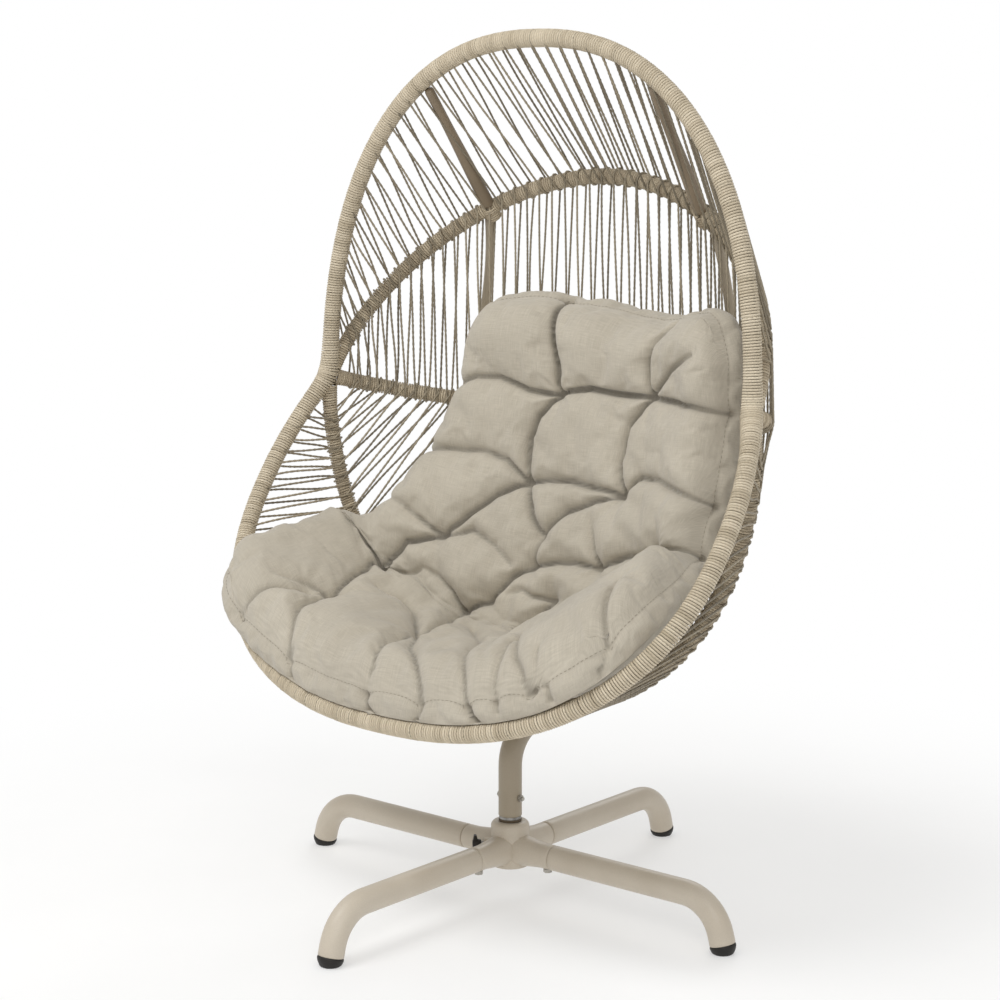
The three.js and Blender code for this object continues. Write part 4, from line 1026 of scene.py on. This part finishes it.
def crease_samples(u, v, normals):
    """Creases and tufts, each as points on the cushion, depths there and a reach."""
    places, depths = [], []
    for start, end, *stops in CREASES:
        stops = [TUFTS[stop] if isinstance(stop, str) else stop for stop in stops]
        stops = np.array([(*stop, SEAM_H)[:3] for stop in stops], float)
        knots = np.arange(len(stops))
        fine = np.linspace(0, len(stops) - 1, SAMPLES * len(stops))
        share = fine / fine[-1]
        places.append(interpolated(fine, knots, stops))
        depths.append(CREASE_DEPTH * (start + (end - start) * share))
    tufts = np.array([(*where, SEAM_H) for where in TUFTS.values()])
    creases = sum(len(line) for line in places)
    places = np.concatenate([*places, tufts])
    uv = places[:, :2]
    flat = np.stack([u.ravel(), v.ravel() * V_LENGTH], -1)
    cells = [np.argmin(np.sum((flat - (a, b * V_LENGTH)) ** 2, -1)) for a, b in uv]
    lift = (clearance(uv[:, 1]) + places[:, 2])[:, None] * normals.reshape(-1, 3)[cells]
    where = cushion_outline(uv[:, 0], uv[:, 1]) + lift
    return [(where[:creases], np.concatenate(depths), CREASE_REACH),
            (where[creases:], np.full(len(tufts), TUFT_DEPTH), TUFT_REACH)]


def nearest(points, places):
    """For each point, the distance to the nearest place and its number."""
    tree = KDTree(len(places))
    for number, place in enumerate(places):
        tree.insert(place, number)
    tree.balance()
    found = [tree.find(point)[1:] for point in points.tolist()]
    number, distance = np.array(found).T
    return distance, number.astype(int)


def pressed(points, samples):
    """How deep the creases and tufts press each point in, and how near they are (1 on them)."""
    depth, near = np.zeros(len(points)), np.zeros(len(points))
    for where, depths, reach in samples:
        d, k = nearest(points, where)
        x = np.clip(d / reach, 0, 1)
        depth = np.maximum(depth, depths[k] * (1 - np.sqrt(1 - (1 - x) ** 2)))
        held = np.clip(1 - d / HOLD_REACH, 0, 1) * np.minimum(depths[k] / CREASE_DEPTH, 1)
        near = np.maximum(near, held)
    return depth, near


def edge_loop(grid):
    """The values of a grid round its edge: front, right, top, left."""
    return np.concatenate([grid[0, :-1], grid[:-1, -1], grid[-1, :0:-1], grid[:0:-1, 0]])


def keep_off_rim(points):
    """Moves points that would sink into the rim out to its surface."""
    d, k = nearest(points, RIM_LOOP)
    away = points - RIM_LOOP[k]
    need = np.clip(RIM_KEEP_OFF - d, 0, None)
    return points + away * (need / np.maximum(d, 1e-6))[:, None]


def soft_waves(a, b, rng, count=26, shortest=45, longest=150, height=1.0):
    """A gentle uneven surface: a sum of seeded waves over two lengths in millimetres."""
    total = np.zeros_like(a)
    for _ in range(count):
        heading, phase = rng.uniform(0, TAU, 2)
        length = rng.uniform(shortest, longest)
        total += np.sin((a * math.cos(heading) + b * math.sin(heading)) / length * TAU + phase)
    return total * height / math.sqrt(count)


def lengths_on_grid(ground):
    """Lengths along the grid in millimetres: across from the middle line, and up from the front."""
    step_u = np.linalg.norm(np.diff(ground, axis=1), axis=-1)
    step_v = np.linalg.norm(np.diff(ground, axis=0), axis=-1)
    mm_u = np.pad(np.cumsum(step_u, 1), ((0, 0), (1, 0)))
    mm_u -= mm_u[:, ACROSS // 2][:, None]
    mm_v = np.pad(np.cumsum(step_v, 0), ((1, 0), (0, 0)))[:, ACROSS // 2][:, None] + 0 * mm_u
    return mm_u, mm_v


def grid_distance(u, v, mm_u, mm_v, at_u, at_v):
    """Distance on the cloth from one (u, v), with its two parts."""
    k = np.argmin((u - at_u) ** 2 + (v - at_v) ** 2)
    du, dv = mm_u - mm_u.ravel()[k], mm_v - mm_v.ravel()[k]
    return np.hypot(du, dv), du, dv


def roll_height(u, v):
    """The roll along the right side of the seat stands up, and the left front corner lies low."""
    right = ROLL_RISE * smoothstep(u, 0.1, 0.4) * (1 - 0.8 * smoothstep(u, 0.65, 0.95))
    right *= smoothstep(v, 0.02, 0.15) * (1 - smoothstep(v, 0.33, 0.45))
    left = CORNER_SINK * smoothstep(-u, 0.5, 0.85)
    return right - left * smoothstep(v, 0.03, 0.12) * (1 - smoothstep(v, 0.15, 0.3))


def cloth_heights(u, v, mm_u, mm_v, from_edge, depth):
    """Heights of the top and of the underside over the base, at each point of the grid."""
    rng = np.random.default_rng(7)
    rise = np.sqrt(1 - (1 - np.clip(from_edge / EDGE_RUN, 0, 1)) ** 2)
    height = SEAM_H + CROWN * rise + roll_height(u, v) * rise
    height += soft_waves(mm_u, mm_v, rng, height=1.8) * rise
    height -= depth * (0.8 + 0.2 * np.clip(from_edge / 30, 0, 1))
    for at_u, at_v, lift in MOUNDS:
        r, _, _ = grid_distance(u, v, mm_u, mm_v, at_u, at_v)
        height += lift * np.exp(-(r / MOUND_RUN) ** 2)
    under_height = UNDER_H + soft_waves(mm_u, mm_v, rng, height=1.6) * rise
    for at_u, at_v in TUFTS.values():
        r, du, dv = grid_distance(u, v, mm_u, mm_v, at_u, at_v)
        folds = np.cos(np.arctan2(dv, du) * rng.integers(7, 11) + rng.uniform(0, TAU))
        pucker = folds * np.clip(r / 12, 0, 1) * np.exp(-(r / PUCKER_RUN) ** 2)
        height += PUCKER * pucker
        under_height += TUCK * np.exp(-np.hypot(r, 4) / TUCK_RUN) + 1.2 * pucker
    return height, under_height


def outward_directions(base, normals):
    """Directions that point away from the cushion round its edge, smoothed along it."""
    edge_base = edge_loop(base)
    along_edge = unit(np.roll(edge_base, -1, 0) - np.roll(edge_base, 1, 0))
    outward = unit(np.cross(along_edge, edge_loop(normals)))
    outward *= np.sign(np.sum(outward * (edge_base - base.reshape(-1, 3).mean(0)), -1))[:, None]
    for _ in range(6):
        outward = unit(np.roll(outward, 1, 0) + 2 * outward + np.roll(outward, -1, 0))
    return outward


def edge_band(base, normals, top, under, edge_at, samples):
    """The rows between top and underside: points, nearness to creases, and points unpressed."""
    outward = outward_directions(base, normals)
    edge_base, edge_normal = edge_loop(base), edge_loop(normals)
    top_edge, under_edge = edge_loop(top), edge_loop(under)
    count = len(edge_base)
    rows, near, flat = [], [], []
    for k in range(1, BAND):
        share = k / BAND
        straight = top_edge * (1 - share) + under_edge * share
        flat_row = edge_base + edge_normal * (SEAM_H + (UNDER_H - SEAM_H) * share)
        sunk, close = pressed(flat_row, samples)
        out = BULGE * math.sin(share * TAU / 2) + 1.2 * soft_waves(
            edge_at[:-1], np.full(count, share * 60), np.random.default_rng(11), 14, 30, 110)
        rows.append(straight + outward * (out - 0.8 * sunk)[:, None])
        near.append(close)
        flat.append(flat_row)
    return rows, near, flat


def cushion_faces(mm_u, mm_v, edge_at):
    """Faces, their corners' UV in millimetres, and the numbers of the top's edge points."""
    size, count = mm_u.size, len(edge_at) - 1
    grid = np.arange(size).reshape(mm_u.shape)
    loops = [edge_loop(grid)]
    loops += [2 * size + count * k + np.arange(count) for k in range(BAND - 1)]
    loops.append(edge_loop(grid) + size)
    quad = np.stack([grid[:-1, :-1], grid[:-1, 1:], grid[1:, 1:], grid[1:, :-1]], -1).reshape(-1, 4)
    faces = [quad, quad[:, ::-1] + size]
    uv_grid = np.stack([mm_u, mm_v], -1).reshape(-1, 2)
    corners = [uv_grid[quad], uv_grid[quad[:, ::-1]] + UNDER_UV]
    left, right = edge_at[:-1], edge_at[1:]
    for k in range(BAND):
        a, b = loops[k], loops[k + 1]
        faces.append(np.stack([a, b, np.roll(b, -1), np.roll(a, -1)], -1))
        high, low = np.full(count, BAND_ROW * k), np.full(count, BAND_ROW * (k + 1))
        corners.append(np.stack([np.stack([left, high], -1), np.stack([left, low], -1),
                                 np.stack([right, low], -1), np.stack([right, high], -1)],
                                1) + BAND_UV)
    return np.concatenate(faces), np.concatenate(corners), loops[0]


def cushion_shape():
    """Points, faces, UVs in millimetres, edge loop numbers and stiffness of the whole cushion."""
    u, v, ground, normals = outline_grid()
    samples = crease_samples(u, v, normals)
    base = clearance(v)[..., None] * normals + ground
    edge = edge_loop(ground)
    edge_at = lengths_along(np.concatenate([edge, edge[:1]]))
    from_edge = nearest(ground.reshape(-1, 3), edge)[0].reshape(u.shape)
    mm_u, mm_v = lengths_on_grid(ground)
    depth, near = pressed((base + SEAM_H * normals).reshape(-1, 3), samples)
    height, under_height = cloth_heights(u, v, mm_u, mm_v, from_edge, depth.reshape(u.shape))
    top = base + height[..., None] * normals
    under = base + under_height[..., None] * normals
    rows, row_near, row_flat = edge_band(base, normals, top, under, edge_at, samples)
    faces, corners, seam = cushion_faces(mm_u, mm_v, edge_at)
    points = np.concatenate([top.reshape(-1, 3), under.reshape(-1, 3), *rows])
    hold = np.concatenate([near, np.ones(u.size), *row_near])
    hold[seam] = np.maximum(hold[seam], 0.6)
    unpressed = np.concatenate([(base + SEAM_H * normals).reshape(-1, 3), under.reshape(-1, 3),
                                *row_flat])
    return keep_off_rim(points), faces, corners, seam, hold, unpressed, samples


CLOTH_FRAMES = 18
CLOTH_CAP = 11                      # how far the simulation may move a point


def puffed(piece, hold):
    """Inflates the cushion as cloth that its creases, tufts and underside hold in place."""
    before = np.array([v.co for v in piece.data.vertices]) / MM
    group = piece.vertex_groups.new(name="held")
    for level in range(1, 11):
        members = np.nonzero(np.round(np.clip(hold, 0, 1) * 10) == level)[0].tolist()
        if members:
            group.add(members, level / 10, "REPLACE")
    cloth = piece.modifiers.new("cloth", "CLOTH")
    settings = cloth.settings
    settings.quality = 6
    settings.mass = 0.25
    settings.tension_stiffness = settings.compression_stiffness = 12
    settings.shear_stiffness = 6
    settings.bending_stiffness = 0.25
    settings.air_damping = 2.0
    settings.use_pressure = True
    settings.uniform_pressure_force = 4.0
    settings.shrink_min = -0.035
    settings.vertex_group_mass = "held"
    settings.pin_stiffness = 1.5
    settings.effector_weights.gravity = 0
    cloth.collision_settings.use_collision = False
    cloth.point_cache.frame_end = CLOTH_FRAMES
    scene = bpy.context.scene
    for number in range(1, CLOTH_FRAMES + 1):
        scene.frame_set(number)
    moved = piece.evaluated_get(bpy.context.evaluated_depsgraph_get())
    after = np.array([v.co for v in moved.data.vertices]) / MM
    piece.modifiers.remove(cloth)
    piece.vertex_groups.remove(group)
    scene.frame_set(1)
    shift = after - before
    length = np.linalg.norm(shift, axis=1)
    shift *= (CLOTH_CAP * np.tanh(length / CLOTH_CAP) / np.maximum(length, 1e-6))[:, None]
    shift *= (1 - np.clip(hold, 0, 1))[:, None]
    return before + shift


def folded(mesh, samples):
    """Presses the narrow folds into the finished mesh, and marks them for painted shade in the
    cloth's colour.
    """
    count = len(mesh.vertices)
    flat, co, normal = np.empty(3 * count), np.empty(3 * count), np.empty(3 * count)
    mesh.attributes["unpressed"].data.foreach_get("vector", flat)
    mesh.vertices.foreach_get("co", co)
    mesh.vertex_normals.foreach_get("vector", normal)
    flat, co, normal = (a.reshape(-1, 3) for a in (flat, co, normal))
    where, depths, _ = samples[0]
    d, k = nearest(flat, where)
    fold = np.clip(depths[k] / CREASE_DEPTH, 0, 1.2) * np.exp(-(d / GROOVE_WIDTH) ** 2)
    mesh.attributes.remove(mesh.attributes["unpressed"])
    mesh.vertices.foreach_set("co", (co - normal * (fold * GROOVE_DEPTH * MM)[:, None]).ravel())
    # the fold mark also darkens the cloth's colour in the creases: painted shade
    mark = mesh.attributes.new("fold", "FLOAT", "POINT")
    mark.data.foreach_set("value", fold.astype(np.float32))
    mesh.update()


def cushion():
    points, faces, corners, seam, hold, unpressed, samples = cushion_shape()
    piece = make_piece("seat_cushion", points, faces.tolist(), CLOTH, ["cushion"])
    points = keep_off_rim(puffed(piece, hold))
    piece.data.vertices.foreach_set("co", (points * MM).ravel())
    piece.data.update()
    layer = piece.data.uv_layers.new(name="UVMap")
    layer.data.foreach_set("uv", corners.astype(np.float32).ravel())
    before = piece.data.attributes.new("unpressed", "FLOAT_VECTOR", "POINT")
    before.data.foreach_set("vector", unpressed.astype(np.float32).ravel())
    smoothing = piece.modifiers.new("smooth", "SUBSURF")
    smoothing.levels = smoothing.render_levels = 1
    smooth_mesh = bpy.data.meshes.new_from_object(
        piece.evaluated_get(bpy.context.evaluated_depsgraph_get()))
    piece.modifiers.clear()
    piece.data = smooth_mesh
    folded(smooth_mesh, samples)
    stitches(piece, points[seam])


STITCH, STITCH_GAP = 5.0, 2.6
STITCH_SHARES = np.array([0, 0.2, 0.5, 0.8, 1])
STITCH_RADII, STITCH_SIDES = [0.15, 0.42, 0.5, 0.42, 0.15], 6


def stitches(piece, seam):
    """A row of stitches just under the seam, lying on the cloth."""
    loop = np.concatenate([seam, seam[:1]])
    length = lengths_along(loop)[-1]
    parts = []
    for start in np.arange(0, length - STITCH, STITCH + STITCH_GAP):
        line = resampled(loop, start + STITCH * STITCH_SHARES)
        placed = []
        for point in line:
            _, where, normal, _ = piece.closest_point_on_mesh(Vector(point * MM))
            placed.append(np.array(where) / MM + np.array(normal) * 0.15)
        parts.append(tube(placed, STITCH_RADII, STITCH_SIDES))
    points, faces = merged(*parts)
    rings = len(points) // STITCH_SIDES
    uv = np.stack([np.repeat(np.arange(rings), STITCH_SIDES) * 0.5,
                   np.tile(np.arange(STITCH_SIDES) / STITCH_SIDES, rings)], -1)
    make_piece("cushion_stitching", points, faces, THREAD, uv=uv, tint=np.full(len(points), 0.5))


cushion()

# ---------------------------------------------------------------- floor, light and camera
FLOOR_RADII = [0.7, 1.5, 3, 6, 12, 30.0]
FLOOR_SIDES = 96


def stage_floor():
    around = np.linspace(0, TAU, FLOOR_SIDES + 1)[:-1]
    points = [(0, 0, 0)]
    for radius in FLOOR_RADII:
        points += [(radius * math.cos(a), radius * math.sin(a), -0.0005) for a in around]
    steps = [(k, (k + 1) % FLOOR_SIDES) for k in range(FLOOR_SIDES)]
    faces = [(0, 1 + k, 1 + after) for k, after in steps]
    for row in range(len(FLOOR_RADII) - 1):
        a = 1 + FLOOR_SIDES * row
        b = a + FLOOR_SIDES
        faces += [(a + k, b + k, b + after, a + after) for k, after in steps]
    mesh = bpy.data.meshes.new("floor")
    mesh.from_pydata(points, [], faces)
    floor = bpy.data.objects.new("floor", mesh)
    bpy.context.scene.collection.objects.link(floor)
    finish, tree, where = new_finish("floor", "floor")
    grain = noise(tree, where, 3.0, 4.0)
    pale = ramp(tree, grain, (0.3, (246, 246, 245)), (0.7, (250, 250, 249)))
    dressed(finish, Base_Color=pale, Roughness=0.7)
    glow = add_node(tree, "Emission", {"Color": (1, 1, 1, 1), "Strength": 1.0})
    distance = add_node(tree, "VectorMath", {0: where}, output="Value", operation="LENGTH")
    far = add_node(tree, "MapRange", {0: distance, 1: 0.6, 2: 1.6, 3: 0.4, 4: 1.0},
                   interpolation_type="SMOOTHSTEP")
    matt = tree.nodes["Principled BSDF"].outputs[0]
    surface = add_node(tree, "MixShader", {0: far, 1: matt, 2: glow})
    link(tree, surface, tree.nodes["Material Output"].inputs[0])
    mesh.materials.append(finish)


def area_light(name, place, aim, size, power, colour=(1, 1, 1)):
    data = bpy.data.lights.new(name, "AREA")
    data.shape = "DISK"
    data.size = size
    data.energy = power
    data.color = colour
    lamp = bpy.data.objects.new(name, data)
    bpy.context.scene.collection.objects.link(lamp)
    lamp.location = place
    lamp.rotation_euler = (Vector(aim) - Vector(place)).to_track_quat("-Z", "Y").to_euler()


def world_light(strength):
    """White to the camera, and a softer white light on the object."""
    world = bpy.data.worlds.new("studio")
    bpy.context.scene.world = world
    world.use_nodes = True
    tree = world.node_tree
    tree.nodes.clear()
    seen = add_node(tree, "Background", {"Color": (1, 1, 1, 1), "Strength": 1.0})
    light = add_node(tree, "Background", {"Color": (1, 0.995, 0.985, 1), "Strength": strength})
    camera_ray = add_node(tree, "LightPath")
    shown = add_node(tree, "MixShader", {0: camera_ray, 1: light, 2: seen})
    out = tree.nodes.new("ShaderNodeOutputWorld")
    tree.links.new(shown, out.inputs[0])


stage_floor()
world_light(0.62)
area_light("key", (-0.9, -2.3, 4.4), (0, -0.1, 0.5), 2.6, 82)
area_light("fill", (2.6, -2.6, 2.6), (0, -0.1, 0.6), 2.5, 38)
area_light("back", (-1.5, 3.0, 2.8), (0, 0, 0.9), 2.0, 26)

camera_data = bpy.data.cameras.new("camera")
camera_data.lens, camera_data.sensor_width = 83.3, 36
camera = bpy.data.objects.new("camera", camera_data)
camera.location = (2.302, -2.769, 1.241)
camera.rotation_euler = (math.radians(80.65), 0, math.radians(40))
bpy.context.scene.collection.objects.link(camera)
bpy.context.scene.camera = camera
bpy.context.scene.view_settings.view_transform = "Standard"

bpy.context.view_layer.update()
